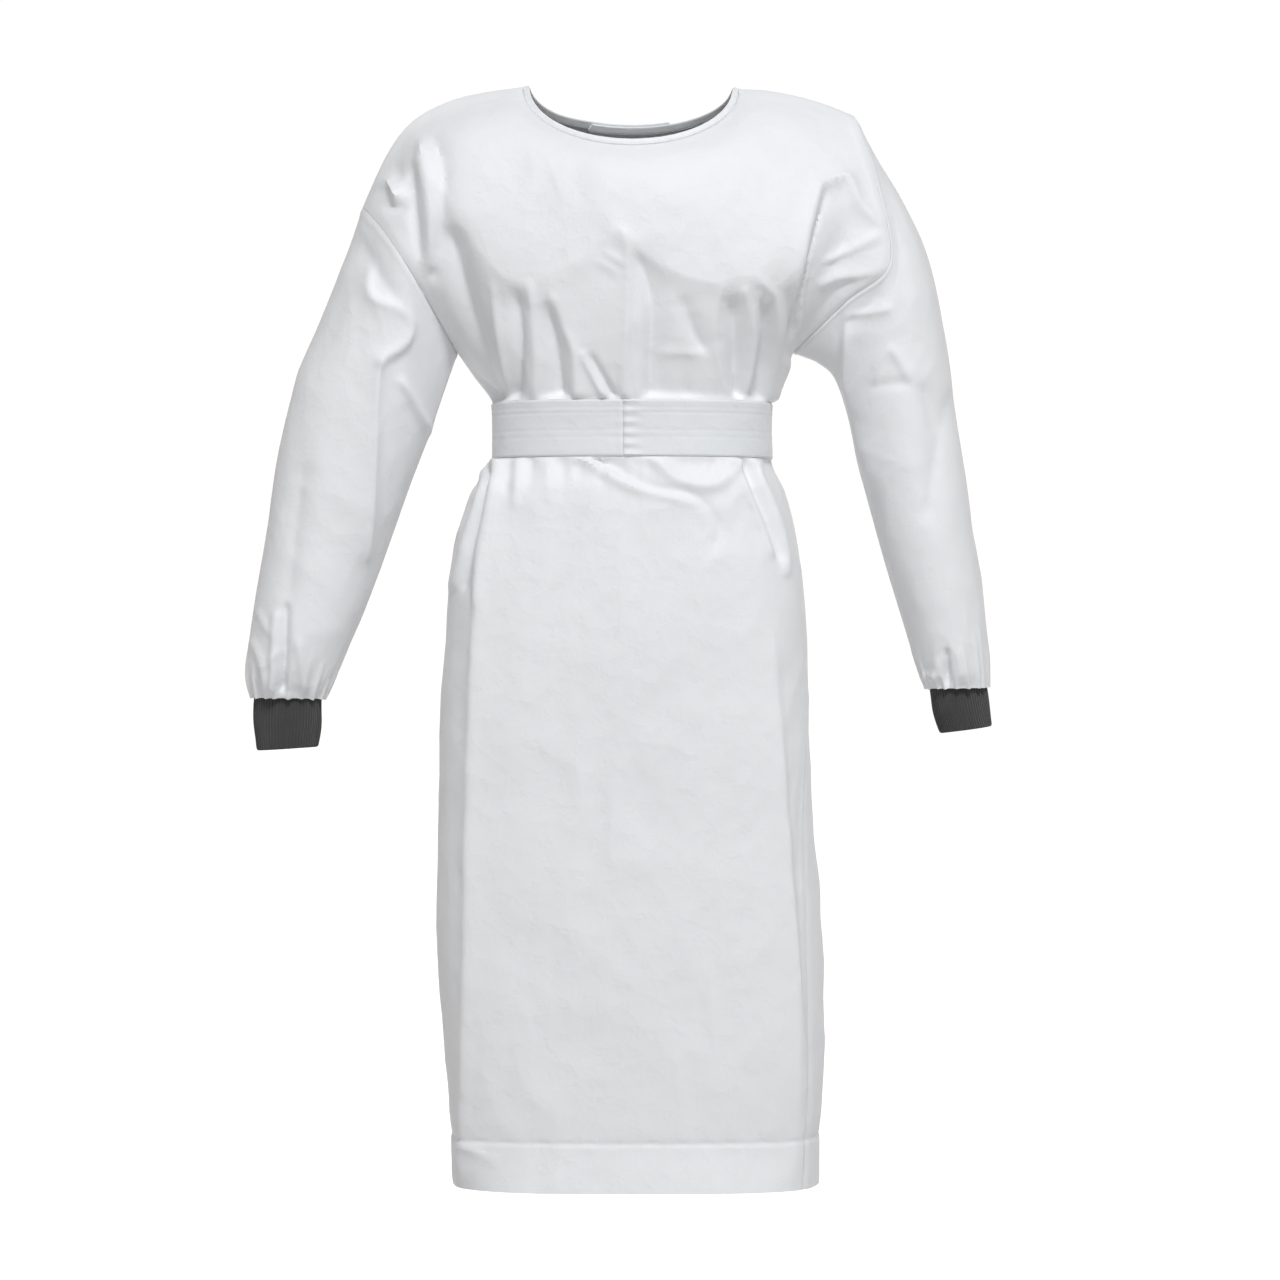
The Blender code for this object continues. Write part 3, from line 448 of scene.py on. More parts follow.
def relief(places, creases):
    """How far the creases lift the cloth at each place. Each one is a soft strip with a sharper middle."""
    flat = places.reshape(-1, 2)
    lift = np.zeros(len(flat))
    for crease in creases:
        knots = np.asarray(crease.path, float)
        fine = smooth_path(knots, np.linspace(0, len(knots) - 1, 20 * len(knots)))
        run = np.concatenate([[0.0], np.cumsum(np.linalg.norm(np.diff(fine, axis=0), axis=1))])
        narrow, wide = sorted((crease.width, crease.beyond))
        count = int(run[-1] / max(narrow / 5, FINEST)) + 4
        part = (np.arange(count) + 0.5) / count
        spots = np.column_stack([np.interp(part * run[-1], run, fine[:, axis]) for axis in range(2)])
        heading = np.gradient(spots, axis=0)
        heading /= np.linalg.norm(heading, axis=1, keepdims=True)
        low, high = spots.min(axis=0) - REACH * wide, spots.max(axis=0) + REACH * wide
        near = np.all((flat > low) & (flat < high), axis=1)
        offset = flat[near][None] - spots[:, None]
        away = np.linalg.norm(offset, axis=2)
        side = heading[:, :1] * offset[..., 1] - heading[:, 1:] * offset[..., 0]
        width = crease.width + (crease.beyond - crease.width) * (0.5 + 0.5 * side / (away + 1e-6))
        depth = crease.start + (crease.end - crease.start) * part
        shares = (1 - 0.65 * crease.crisp, 0.40 * crease.crisp, 0.25 * crease.crisp)
        for share, size in zip(shares, (1, 0.45, 0.2)):
            spread = np.maximum(width * size, FINEST)
            strip = np.exp(-((away / spread) ** 2)) / spread
            lift[near] += share * (depth[:, None] * strip).sum(axis=0) * run[-1] / count / math.sqrt(math.pi)
    return lift.reshape(places.shape[:-1])


def crumple(cut, seed, height):
    """Small faceted crumples over cut cloth, from its places across and down."""
    flat = cut.reshape(-1, 2)
    lift = np.empty(len(flat))
    for index, (across, down) in enumerate(flat):
        spot = Vector((across * 13 + seed, down * 10, seed))
        bend = noise.noise(spot * 0.7)
        broad = 1 - abs(noise.noise(spot + Vector((bend, 0, 0)))) * 2
        fine = 1 - abs(noise.noise(spot * 2.7 + Vector((0, bend, 5)))) * 2
        lift[index] = broad * 0.62 + fine * 0.30 * (0.6 + 0.4 * bend)
    return height * (lift.reshape(cut.shape[:-1]) - 0.5)


def cut_places(points, closed=False, first=0):
    """Each point's place on the cut cloth: how far across and down, in metres, from its first column."""
    if closed:
        points = np.roll(points, -first, axis=1)
        points = np.concatenate([points, points[:, :1]], axis=1)
    across = np.linalg.norm(np.diff(points, axis=1), axis=2).mean(axis=0)
    down = np.linalg.norm(np.diff(points, axis=0), axis=2).mean(axis=1)
    across = np.concatenate([[0.0], np.cumsum(across)])
    down = np.concatenate([[0.0], np.cumsum(down)])
    return np.stack(np.meshgrid(across, down), axis=-1)


def cloth_wall(name, outer, inner, cut, finish, closed=False, first=0):
    """A thin wall between two matching grids, with its cut as its UV map. A closed one is a tube."""
    rows, columns = outer.shape[:2]
    spans = columns if closed else columns - 1
    index = np.arange(rows * columns).reshape(rows, columns)
    after = np.roll(index, -1, axis=1)
    sides = [index[:-1, :spans], after[:-1, :spans], after[1:, :spans], index[1:, :spans]]
    sheet = np.stack(sides, axis=-1).reshape(-1, 4)
    back = sheet[:, ::-1] + rows * columns

    def rim(edge, beside, turned):
        strip = np.stack([edge, edge + rows * columns, beside + rows * columns, beside], axis=-1)
        return strip[:, ::-1] if turned else strip

    rims = [rim(index[0, :spans], after[0, :spans], False), rim(index[-1, :spans], after[-1, :spans], True)]
    if not closed:
        rims += [rim(index[:-1, 0], index[1:, 0], True), rim(index[:-1, -1], index[1:, -1], False)]
    faces = np.concatenate([sheet, back, *rims])
    mesh = bpy.data.meshes.new(name)
    points = np.concatenate([outer.reshape(-1, 3), inner.reshape(-1, 3)])
    mesh.from_pydata(points.tolist(), [], faces.tolist())

    # A corner's place across counts on past a tube's first column, so that no face spans the whole cut.
    corners = faces % (rows * columns)
    row, column = corners // columns, corners % columns
    if closed:
        column = (column - first) % columns
        wrapped = (column.max(axis=1) - column.min(axis=1)) > 1
        column = np.where(wrapped[:, None] & (column == 0), columns, column)
    layer = mesh.uv_layers.new(name="cut")
    layer.data.foreach_set("uv", cut[row, column].reshape(-1).astype(np.float32))
    mesh.materials.append(finish)
    mesh.validate()
    turned = np.empty(len(faces) * 3)
    mesh.polygons.foreach_get("normal", turned)
    thickness = (outer - inner)[:-1, :spans].reshape(-1, 3)
    if np.sum(turned.reshape(-1, 3)[: len(sheet)] * thickness) < 0:
        mesh.flip_normals()
    mesh.shade_smooth()
    mesh.set_sharp_from_angle(angle=math.radians(50))
    made = bpy.data.objects.new(name, mesh)
    bpy.context.scene.collection.objects.link(made)
    return made


# Front
# One panel from side seam to side seam, cut with the shoulders, half of each armhole and the neck. It is
# gathered under the belt, and its hem is turned up once and stitched.
HEM_FOLD = 0.0009
HEM_GROOVE = 0.0009
HEM_SAG = 0.0018
HEM_FLARE = 0.0036
HEM_SHADE = 0.026
STITCHES_ABOVE = 0.001
STITCHES_WIDE = 0.0022
PUCKER_PITCH = 0.031
SEAM_ROLL = 0.0008
SEAM_ROLL_IN = 0.006
SEAM_ROLL_WIDE = 0.003
BELT_TUCK = 0.007
TOP_FADE_ROWS = 16
EDGE_FADES = 29
CHEST_CRUMPLE = 0.0018
SKIRT_CRUMPLE = 0.0030
KINK_PASSES = 160
KINKS_END = 0.343
KINKS_FADE = 0.035
KINK_EDGES = 0.06

FRONT_CREASES = (
    # The edge of the lit chest: above it the cloth faces up, and below it falls in towards the belt
    Crease(
        ((-0.241, -0.035), (-0.219, -0.092), (-0.194, -0.131), (-0.166, -0.174), (-0.135, -0.209)),
        0.026, 0.05, 0.007, 0.007, 0.25,
    ),
    Crease(
        (
            (-0.144, -0.202), (-0.111, -0.215), (-0.079, -0.197),
            (-0.052, -0.186), (-0.031, -0.168), (-0.011, -0.155),
        ),
        0.02, 0.04, 0.0025, 0.004, 0.3,
    ),
    Crease(
        (
            (-0.011, -0.155), (0.006, -0.169), (0.022, -0.187),
            (0.040, -0.197), (0.065, -0.208), (0.096, -0.215),
        ),
        0.02, 0.045, 0.006, 0.005, 0.4,
    ),
    Crease(
        (
            (0.089, -0.213), (0.138, -0.205), (0.158, -0.216),
            (0.180, -0.196), (0.195, -0.168), (0.208, -0.120),
        ),
        0.02, 0.04, 0.004, 0.004, 0.3,
    ),
    # Left shoulder: a narrow upright ridge between two hollows, and a hooked crease at the armhole
    Crease(((-0.228, -0.059), (-0.222, -0.125), (-0.217, -0.202)), 0.008, 0.008, 0.006, 0.005, 0.6),
    Crease(((-0.242, -0.087), (-0.239, -0.131), (-0.234, -0.189)), 0.008, 0.006, -0.006, -0.006, 0.4),
    Crease(
        (
            (-0.223, -0.055), (-0.209, -0.073), (-0.204, -0.109),
            (-0.206, -0.143), (-0.212, -0.180), (-0.217, -0.211),
        ),
        0.006, 0.016, -0.006, -0.005, 0.6,
    ),
    Crease(
        ((-0.285, -0.113), (-0.276, -0.106), (-0.265, -0.106), (-0.257, -0.117), (-0.259, -0.128)),
        0.005, 0.006, 0.008, 0.008, 0.7,
    ),
    Crease(((-0.264, -0.081), (-0.255, -0.101)), 0.009, 0.009, -0.007, -0.006, 0.2),
    Crease(((-0.274, -0.131), (-0.250, -0.133)), 0.008, 0.008, -0.005, -0.005, 0.3),
    Crease(
        ((-0.197, -0.158), (-0.182, -0.235), (-0.160, -0.315), (-0.144, -0.367)),
        0.013, 0.017, -0.013, -0.011, 0.3,
    ),
    # Gathers of the left side, down to the belt
    Crease(
        ((-0.152, -0.217), (-0.147, -0.279), (-0.138, -0.345), (-0.134, -0.370)),
        0.005, 0.005, 0.002, 0.005, 0.8,
    ),
    Crease(
        ((-0.127, -0.227), (-0.124, -0.279), (-0.127, -0.345), (-0.128, -0.370)),
        0.013, 0.008, -0.008, -0.012, 0.4,
    ),
    Crease(
        ((-0.112, -0.217), (-0.106, -0.268), (-0.105, -0.345), (-0.105, -0.370)),
        0.006, 0.006, 0.003, 0.003, 0.6,
    ),
    Crease(
        ((-0.092, -0.244), (-0.085, -0.279), (-0.078, -0.345), (-0.076, -0.370)),
        0.017, 0.01, -0.01, -0.015, 0.3,
    ),
    Crease(
        ((-0.087, -0.229), (-0.077, -0.263), (-0.064, -0.289), (-0.059, -0.345), (-0.058, -0.370)),
        0.007, 0.012, 0.003, 0.005, 0.7,
    ),
    Crease(
        ((-0.046, -0.296), (-0.032, -0.319), (-0.017, -0.345), (-0.002, -0.370)),
        0.006, 0.005, -0.004, -0.009, 0.7,
    ),
    Crease(
        ((-0.054, -0.293), (-0.040, -0.321), (-0.026, -0.345), (-0.014, -0.370)),
        0.005, 0.005, 0.003, 0.005, 0.7,
    ),
    # The ridge down the middle, the shaded hollow on its right and two short wrinkles on its left
    Crease(
        ((-0.010, -0.157), (-0.004, -0.196), (-0.007, -0.279), (-0.009, -0.345), (-0.010, -0.370)),
        0.022, 0.006, 0.003, 0.005, 0.7,
    ),
    Crease(
        ((0.010, -0.187), (0.023, -0.235), (0.023, -0.345), (0.021, -0.370)),
        0.008, 0.018, -0.008, -0.01, 0.2,
    ),
    Crease(((-0.028, -0.183), (-0.010, -0.194)), 0.005, 0.005, 0.0016, 0.0016, 0.7),
    Crease(((-0.033, -0.194), (-0.015, -0.206)), 0.005, 0.005, 0.0014, 0.0015, 0.7),
    Crease(((0.057, -0.233), (0.067, -0.264), (0.080, -0.290)), 0.008, 0.01, -0.004, -0.006, 0.4),
    Crease(((0.034, -0.294), (0.054, -0.293), (0.076, -0.294)), 0.006, 0.008, 0.0018, 0.0018, 0.6),
    Crease(((0.056, -0.306), (0.061, -0.370)), 0.022, 0.022, -0.004, -0.008, 0.1),
    # Gathers of the right side
    Crease(
        ((0.100, -0.218), (0.092, -0.263), (0.098, -0.308), (0.113, -0.350), (0.122, -0.370)),
        0.009, 0.005, 0.002, 0.003, 0.6,
    ),
    Crease(
        ((0.112, -0.235), (0.116, -0.279), (0.120, -0.340), (0.127, -0.370)),
        0.011, 0.009, -0.01, -0.015, 0.2,
    ),
    Crease(
        ((0.124, -0.222), (0.135, -0.263), (0.133, -0.305), (0.124, -0.350), (0.120, -0.370)),
        0.005, 0.005, 0.003, 0.005, 0.7,
    ),
    Crease(
        ((0.149, -0.235), (0.150, -0.279), (0.142, -0.345), (0.138, -0.370)),
        0.008, 0.007, -0.009, -0.011, 0.4,
    ),
    Crease(
        ((0.141, -0.213), (0.158, -0.234), (0.163, -0.276), (0.153, -0.345), (0.149, -0.370)),
        0.005, 0.006, 0.003, 0.004, 0.7,
    ),
    Crease(((0.176, -0.224), (0.177, -0.268), (0.172, -0.299)), 0.007, 0.007, -0.006, -0.006, 0.4),
    # The chest's right edge, and the deep hollow under the arm with its sharp top and two slanted wrinkles
    Crease(
        (
            (0.208, -0.110), (0.193, -0.180), (0.190, -0.252),
            (0.174, -0.290), (0.155, -0.350), (0.147, -0.370),
        ),
        0.014, 0.006, 0.007, 0.006, 0.8,
    ),
    Crease(
        ((0.219, -0.112), (0.204, -0.169), (0.195, -0.224), (0.184, -0.275)),
        0.006, 0.04, -0.008, -0.015, 0.2,
    ),
    Crease(((0.246, -0.112), (0.243, -0.150), (0.234, -0.187)), 0.024, 0.024, 0.002, -0.021, 0.1),
    Crease(((0.234, -0.187), (0.226, -0.220), (0.215, -0.249)), 0.024, 0.024, -0.019, -0.005, 0.1),
    Crease(
        ((0.210, -0.108), (0.226, -0.101), (0.240, -0.101), (0.253, -0.129), (0.278, -0.154)),
        0.009, 0.016, 0.008, 0.006, 0.8,
    ),
    Crease(((0.223, -0.194), (0.254, -0.174), (0.281, -0.161)), 0.006, 0.009, 0.004, 0.004, 0.7),
    Crease(((0.215, -0.227), (0.241, -0.213), (0.283, -0.200)), 0.006, 0.009, 0.004, 0.004, 0.7),
    # Below the belt
    Crease(
        ((-0.088, -0.389), (-0.044, -0.415), (-0.017, -0.431), (0.014, -0.443), (0.076, -0.459)),
        0.007, 0.012, 0.008, 0.003, 0.6,
    ),
    Crease(
        (
            (-0.070, -0.389), (-0.022, -0.416), (0.024, -0.441),
            (0.064, -0.447), (0.095, -0.477), (0.092, -0.508),
        ),
        0.008, 0.008, -0.007, -0.002, 0.4,
    ),
    Crease(
        (
            (-0.004, -0.389), (0.030, -0.415), (0.055, -0.435),
            (0.095, -0.438), (0.117, -0.416), (0.123, -0.392),
        ),
        0.008, 0.01, 0.006, 0.006, 0.6,
    ),
    Crease(
        ((0.112, -0.389), (0.123, -0.410), (0.139, -0.447), (0.151, -0.477), (0.166, -0.521)),
        0.005, 0.006, -0.009, -0.005, 0.6,
    ),
    Crease(
        ((0.103, -0.389), (0.114, -0.414), (0.128, -0.447), (0.141, -0.477), (0.155, -0.517)),
        0.007, 0.005, 0.006, 0.004, 0.8,
    ),
    Crease(
        ((0.123, -0.389), (0.135, -0.414), (0.154, -0.455), (0.168, -0.499), (0.171, -0.538)),
        0.005, 0.007, 0.006, 0.004, 0.8,
    ),
    Crease(((-0.129, -0.389), (-0.132, -0.416), (-0.136, -0.449)), 0.005, 0.005, -0.005, -0.002, 0.5),
    Crease(((-0.107, -0.389), (-0.109, -0.416), (-0.111, -0.444)), 0.006, 0.006, -0.003, -0.001, 0.4),
    Crease(((-0.069, -0.389), (-0.072, -0.416), (-0.075, -0.451)), 0.009, 0.009, -0.003, -0.001, 0.3),
    Crease(((-0.038, -0.389), (-0.034, -0.418), (-0.030, -0.442)), 0.008, 0.008, -0.0025, -0.001, 0.3),
    Crease(((-0.118, -0.389), (-0.121, -0.416), (-0.127, -0.462)), 0.005, 0.005, 0.005, 0.002, 0.7),
    Crease(((-0.091, -0.389), (-0.091, -0.416), (-0.091, -0.455)), 0.008, 0.008, 0.0025, 0.001, 0.4),
    Crease(
        ((-0.141, -0.389), (-0.145, -0.416), (-0.163, -0.510), (-0.166, -0.571)),
        0.005, 0.008, 0.006, 0.004, 0.8,
    ),
    Crease(
        ((-0.150, -0.389), (-0.157, -0.418), (-0.177, -0.488), (-0.194, -0.552)),
        0.006, 0.006, 0.006, 0.005, 0.7,
    ),
    Crease(((-0.152, -0.422), (-0.171, -0.494), (-0.182, -0.554)), 0.005, 0.005, -0.006, -0.004, 0.4),
    Crease(((-0.168, -0.431), (-0.190, -0.477)), 0.009, 0.009, -0.005, -0.004, 0.2),
    # The skirt's two front edges, pressed sharp, where its flat face turns to the sides
    Crease(
        ((-0.135, -0.389), (-0.140, -0.415), (-0.155, -0.499), (-0.168, -0.609), (-0.176, -0.807)),
        0.022, 0.034, 0.009, 0.0095, 1,
    ),
    Crease(((-0.176, -0.807), (-0.179, -1.005), (-0.183, -1.211)), 0.022, 0.034, 0.0095, 0.008, 1),
    Crease(((0.155, -0.609), (0.160, -0.702), (0.164, -0.787)), 0.034, 0.012, 0.003, 0.009, 1),
    Crease(
        ((0.164, -0.787), (0.171, -0.876), (0.187, -1.065), (0.198, -1.211)),
        0.034, 0.012, 0.009, 0.01, 1,
    ),
    # Broad soft waves down the flat face, and the turned hem's corner
    Crease(((0.006, -0.807), (0.006, -1.082)), 0.03, 0.03, 0.002, 0.0015, 0),
    Crease(((-0.078, -0.521), (-0.091, -0.895), (-0.083, -1.104)), 0.038, 0.038, -0.002, -0.0015, 0),
    Crease(((0.093, -0.565), (0.100, -0.895), (0.085, -1.104)), 0.034, 0.034, -0.002, -0.0015, 0),
    Crease(((-0.182, -1.164), (-0.166, -1.173), (-0.147, -1.183)), 0.005, 0.005, 0.003, 0.001, 0.7),
)


def gathers(left, right, belt_edge, reach, count, seed):
    """Small uneven gathers that run out from under the belt's edge."""
    chance = np.random.default_rng(seed)
    rows = []
    for place in np.linspace(left, right, count):
        x = place + chance.uniform(-0.004, 0.004)
        run = reach * chance.uniform(0.25, 1.0)
        lean = chance.uniform(-0.10, 0.10) + 0.12 * place / right
        height = chance.uniform(0.0010, 0.0026) * chance.choice((-1, 1))
        end = (x + lean * abs(run), -belt_edge + run)
        width = chance.uniform(0.004, 0.007)
        rows.append(Crease(((x, -belt_edge), end), width, width, height, 0.0002, 0.5))
    return tuple(rows)


FRONT_GATHERS = gathers(-0.145, 0.145, BELT_TOP, 0.060, 26, 3)
FRONT_GATHERS += gathers(-0.150, 0.150, BELT_BOTTOM, -0.050, 26, 4)


def near_edges(cells):
    """For each column, how free it is of the panel's nearer side edge: 0 at the seam, 1 a little way in."""
    share = np.arange(cells + 1) / cells
    return np.clip(np.minimum(share, 1 - share) * EDGE_FADES, 0, 1)


def evened(points):
    """The grid above the belt, eased so that its rows and columns meet without a kink. Its edges stay."""
    points = points.copy()
    columns = points.shape[1]
    share = np.arange(columns) / (columns - 1)
    inside = np.clip(np.minimum(share, 1 - share) / KINK_EDGES, 0, 1)[None]
    above = np.clip((points[:, columns // 2, 2] + KINKS_END) / KINKS_FADE, 0, 1)[:, None]
    ease = (inside * above)[1:-1, 1:-1, None]
    for _ in range(KINK_PASSES):
        around = points[:-2, 1:-1] + points[2:, 1:-1] + points[1:-1, :-2] + points[1:-1, 2:]
        points[1:-1, 1:-1] += (around / 4 - points[1:-1, 1:-1]) * ease
    return points


def dressed_panel(behind, neck_cells, creases, seed):
    """A whole front or back from its top edge to the hem, creased, gathered and crumpled."""
    cells = 2 * SHOULDER_CELLS + neck_cells
    upper = chest(behind, neck_cells)[::-1]
    lower = np.stack([body_ring(drop, behind, cells) for drop in BODY_DROPS])
    points = evened(np.concatenate([upper, lower]))
    normals = outward(points, points * (0, 0, 1))
    cut = cut_places(points)
    drops = -points[..., 2]
    from_belt = np.abs(drops - (BELT_TOP + BELT_BOTTOM) / 2) - (BELT_BOTTOM - BELT_TOP) / 2
    pressed = np.clip(from_belt / BELT_TUCK, 0, 1) ** 0.5
    lift = relief(as_seen(points), creases) * near_edges(cells)
    below_belt = np.clip((drops - BELT_BOTTOM) / 0.05, 0, 1)
    rumpled = CHEST_CRUMPLE + (SKIRT_CRUMPLE - CHEST_CRUMPLE) * below_belt
    lift += crumple(cut, seed, 1) * rumpled * near_edges(cells)
    top_fade = np.clip(np.arange(len(points)) / TOP_FADE_ROWS, 0, 1)[:, None]
    lift *= pressed * top_fade

    # A stitched seam sinks in, and the cloth rolls over beside it.
    from_side = np.minimum(cut[..., 0], cut[..., 0].max() - cut[..., 0])
    beside = np.minimum(from_side, cut[..., 1])
    lift += SEAM_ROLL * np.exp(-(((beside - SEAM_ROLL_IN) / SEAM_ROLL_WIDE) ** 2)) * pressed

    # The hem's turned band: its top is stitched down, with a soft ridge over the fold below it. The
    # skirt sags in a little above the stitches, and the band stands out towards its lower edge.
    below_turn = drops - (HEM_DROP - HEM_TURN)
    pucker = 0.6 + 0.4 * np.sin(cut[..., 0] * 2 * math.pi / PUCKER_PITCH + np.sin(cut[..., 0] * 47))
    stitches = pucker * np.exp(-(((below_turn + STITCHES_ABOVE) / STITCHES_WIDE) ** 2))
    band = HEM_FOLD * np.clip(below_turn / 0.004, 0, 1) - HEM_GROOVE * stitches
    band -= HEM_SAG * np.clip(1 + below_turn / HEM_SHADE, 0, 1) ** 2
    band += HEM_FLARE * np.clip(below_turn / HEM_TURN, 0, 1)
    lift += np.where(drops > 1, band, 0)
    return points + normals * lift[..., None], cut


front_points, front_cut = dressed_panel(False, FRONT_NECK_CELLS, FRONT_CREASES + FRONT_GATHERS, 1.7)


# Backs
# Two panels that lap at the centre back, where the gown opens, the left one outside. They share the
# front's seams, hem and gathers.
LAP = 0.005
LAP_RAMP = 11
LAP_CELLS = 12

BACK_CREASES = (
    Crease(((-0.125, -0.235), (-0.118, -0.345)), 0.013, 0.013, -0.003, -0.009, 0.3),
    Crease(((-0.090, -0.260), (-0.085, -0.345)), 0.012, 0.012, 0.002, 0.006, 0.7),
    Crease(((-0.070, -0.215), (-0.060, -0.345)), 0.014, 0.014, -0.003, -0.009, 0.3),
    Crease(((0.072, -0.250), (0.066, -0.345)), 0.013, 0.013, -0.003, -0.008, 0.3),
    Crease(((0.100, -0.225), (0.094, -0.345)), 0.013, 0.013, 0.002, 0.006, 0.7),
    Crease(((0.132, -0.240), (0.122, -0.345)), 0.013, 0.013, -0.003, -0.009, 0.3),
    Crease(((-0.128, -0.416), (-0.140, -0.500)), 0.013, 0.013, -0.008, -0.003, 0.3),
    Crease(((-0.092, -0.416), (-0.098, -0.520)), 0.014, 0.014, -0.009, -0.003, 0.3),
    Crease(((-0.110, -0.416), (-0.121, -0.560)), 0.013, 0.013, 0.006, 0.003, 0.7),
    Crease(((0.112, -0.416), (0.124, -0.540)), 0.013, 0.013, -0.009, -0.003, 0.3),
    Crease(((0.085, -0.416), (0.094, -0.500)), 0.013, 0.013, 0.006, 0.002, 0.7),
    Crease(((0.134, -0.416), (0.150, -0.520)), 0.013, 0.013, 0.006, 0.003, 0.7),
    Crease(((-0.150, -0.560), (-0.165, -0.880), (-0.160, -1.190)), 0.022, 0.022, 0.006, 0.008, 0.3),
    Crease(((0.135, -0.600), (0.160, -0.900), (0.165, -1.190)), 0.022, 0.022, 0.006, 0.007, 0.3),
    Crease(((-0.165, -0.110), (-0.120, -0.180)), 0.02, 0.02, -0.005, -0.004, 0.2),
    Crease(((0.170, -0.080), (0.130, -0.170)), 0.02, 0.02, -0.005, -0.004, 0.2),
)
BACK_GATHERS = gathers(-0.140, 0.140, BELT_TOP, 0.070, 26, 5)
BACK_GATHERS += gathers(-0.145, 0.145, BELT_BOTTOM, -0.070, 26, 6)

back_points, back_cut = dressed_panel(True, BACK_NECK_CELLS, BACK_CREASES + BACK_GATHERS, 6.1)
back_middle = (back_points.shape[1] - 1) // 2


# Sleeves
# Long set-in sleeves, each one tube of cloth with a seam under the arm. A sleeve is gathered into its
# cuff, so it puffs out a little over the cuff's top.
GATHER_RISE = 0.070
GATHERS = 19
GATHER_WIDE = 0.0045
SLEEVE_CRUMPLE = 0.0024
SLEEVE_ROWS = 190

Ring = namedtuple("Ring", "outer_x outer_z inner_x inner_z depth y armhole")
SLEEVE_LEFT = (
    Ring(-0.295, -0.133, -0.191, -0.293, 0.072, 0.000, 1.0),
    Ring(-0.317, -0.196, -0.206, -0.336, 0.070, 0.000, 0.6),
    Ring(-0.343, -0.260, -0.222, -0.383, 0.068, 0.000, 0.3),
    Ring(-0.368, -0.322, -0.240, -0.430, 0.066, -0.002, 0.1),
    Ring(-0.384, -0.389, -0.259, -0.483, 0.064, -0.004, 0.0),
    Ring(-0.396, -0.460, -0.277, -0.534, 0.061, -0.007, 0.0),
    Ring(-0.407, -0.527, -0.294, -0.579, 0.058, -0.010, 0.0),
    Ring(-0.415, -0.583, -0.308, -0.612, 0.055, -0.013, 0.0),
    Ring(-0.420, -0.625, -0.319, -0.639, 0.050, -0.015, 0.0),
    Ring(-0.420, -0.650, -0.328, -0.658, 0.043, -0.016, 0.0),
    Ring(-0.4142, -0.672, -0.3363, -0.673, 0.0308, -0.017, 0.0),
)
SLEEVE_RIGHT = (
    Ring(0.246, -0.032, 0.178, -0.293, 0.072, 0.002, 1.0),
    Ring(0.271, -0.079, 0.192, -0.298, 0.071, 0.002, 0.8),
    Ring(0.300, -0.128, 0.206, -0.304, 0.070, 0.001, 0.55),
    Ring(0.328, -0.194, 0.224, -0.320, 0.068, 0.000, 0.3),
    Ring(0.347, -0.289, 0.239, -0.360, 0.066, -0.002, 0.1),
    Ring(0.356, -0.356, 0.250, -0.413, 0.064, -0.004, 0.0),
    Ring(0.366, -0.422, 0.264, -0.468, 0.061, -0.007, 0.0),
    Ring(0.378, -0.499, 0.280, -0.526, 0.058, -0.010, 0.0),
    Ring(0.387, -0.565, 0.297, -0.582, 0.054, -0.013, 0.0),
    Ring(0.392, -0.624, 0.311, -0.628, 0.048, -0.015, 0.0),
    Ring(0.3915, -0.661, 0.3245, -0.662, 0.0345, -0.017, 0.0),
)

LEFT_SLEEVE_CREASES = (
    Crease(((-0.300, -0.165), (-0.276, -0.209), (-0.254, -0.235)), 0.016, 0.016, -0.009, -0.007, 0.3),
    Crease(
        (
            (-0.289, -0.198), (-0.285, -0.231), (-0.256, -0.245), (-0.241, -0.260),
            (-0.250, -0.284), (-0.271, -0.298), (-0.277, -0.306),
        ),
        0.014, 0.008, 0.006, 0.007, 0.8,
    ),
    Crease(
        ((-0.277, -0.301), (-0.282, -0.345), (-0.286, -0.439), (-0.292, -0.521)),
        0.028, 0.009, 0.007, 0.006, 0.7,
    ),
    Crease(((-0.253, -0.323), (-0.237, -0.351), (-0.219, -0.385)), 0.007, 0.009, 0.006, 0.005, 0.7),
    Crease(((-0.362, -0.414), (-0.371, -0.488), (-0.378, -0.565)), 0.015, 0.013, -0.004, -0.0035, 0.2),
    Crease(((-0.380, -0.570), (-0.383, -0.667)), 0.005, 0.006, -0.005, -0.008, 0.6),
    Crease(((-0.391, -0.579), (-0.395, -0.667)), 0.005, 0.004, 0.003, 0.004, 0.7),
    Crease(((-0.416, -0.609), (-0.407, -0.634), (-0.399, -0.664)), 0.004, 0.005, 0.003, 0.003, 0.7),
    Crease(((-0.411, -0.576), (-0.397, -0.603)), 0.004, 0.005, 0.002, 0.002, 0.7),
    Crease(((-0.406, -0.640), (-0.385, -0.620)), 0.004, 0.005, 0.0025, 0.002, 0.7),
    Crease(((-0.366, -0.609), (-0.358, -0.667)), 0.006, 0.008, 0.003, 0.004, 0.5),
)
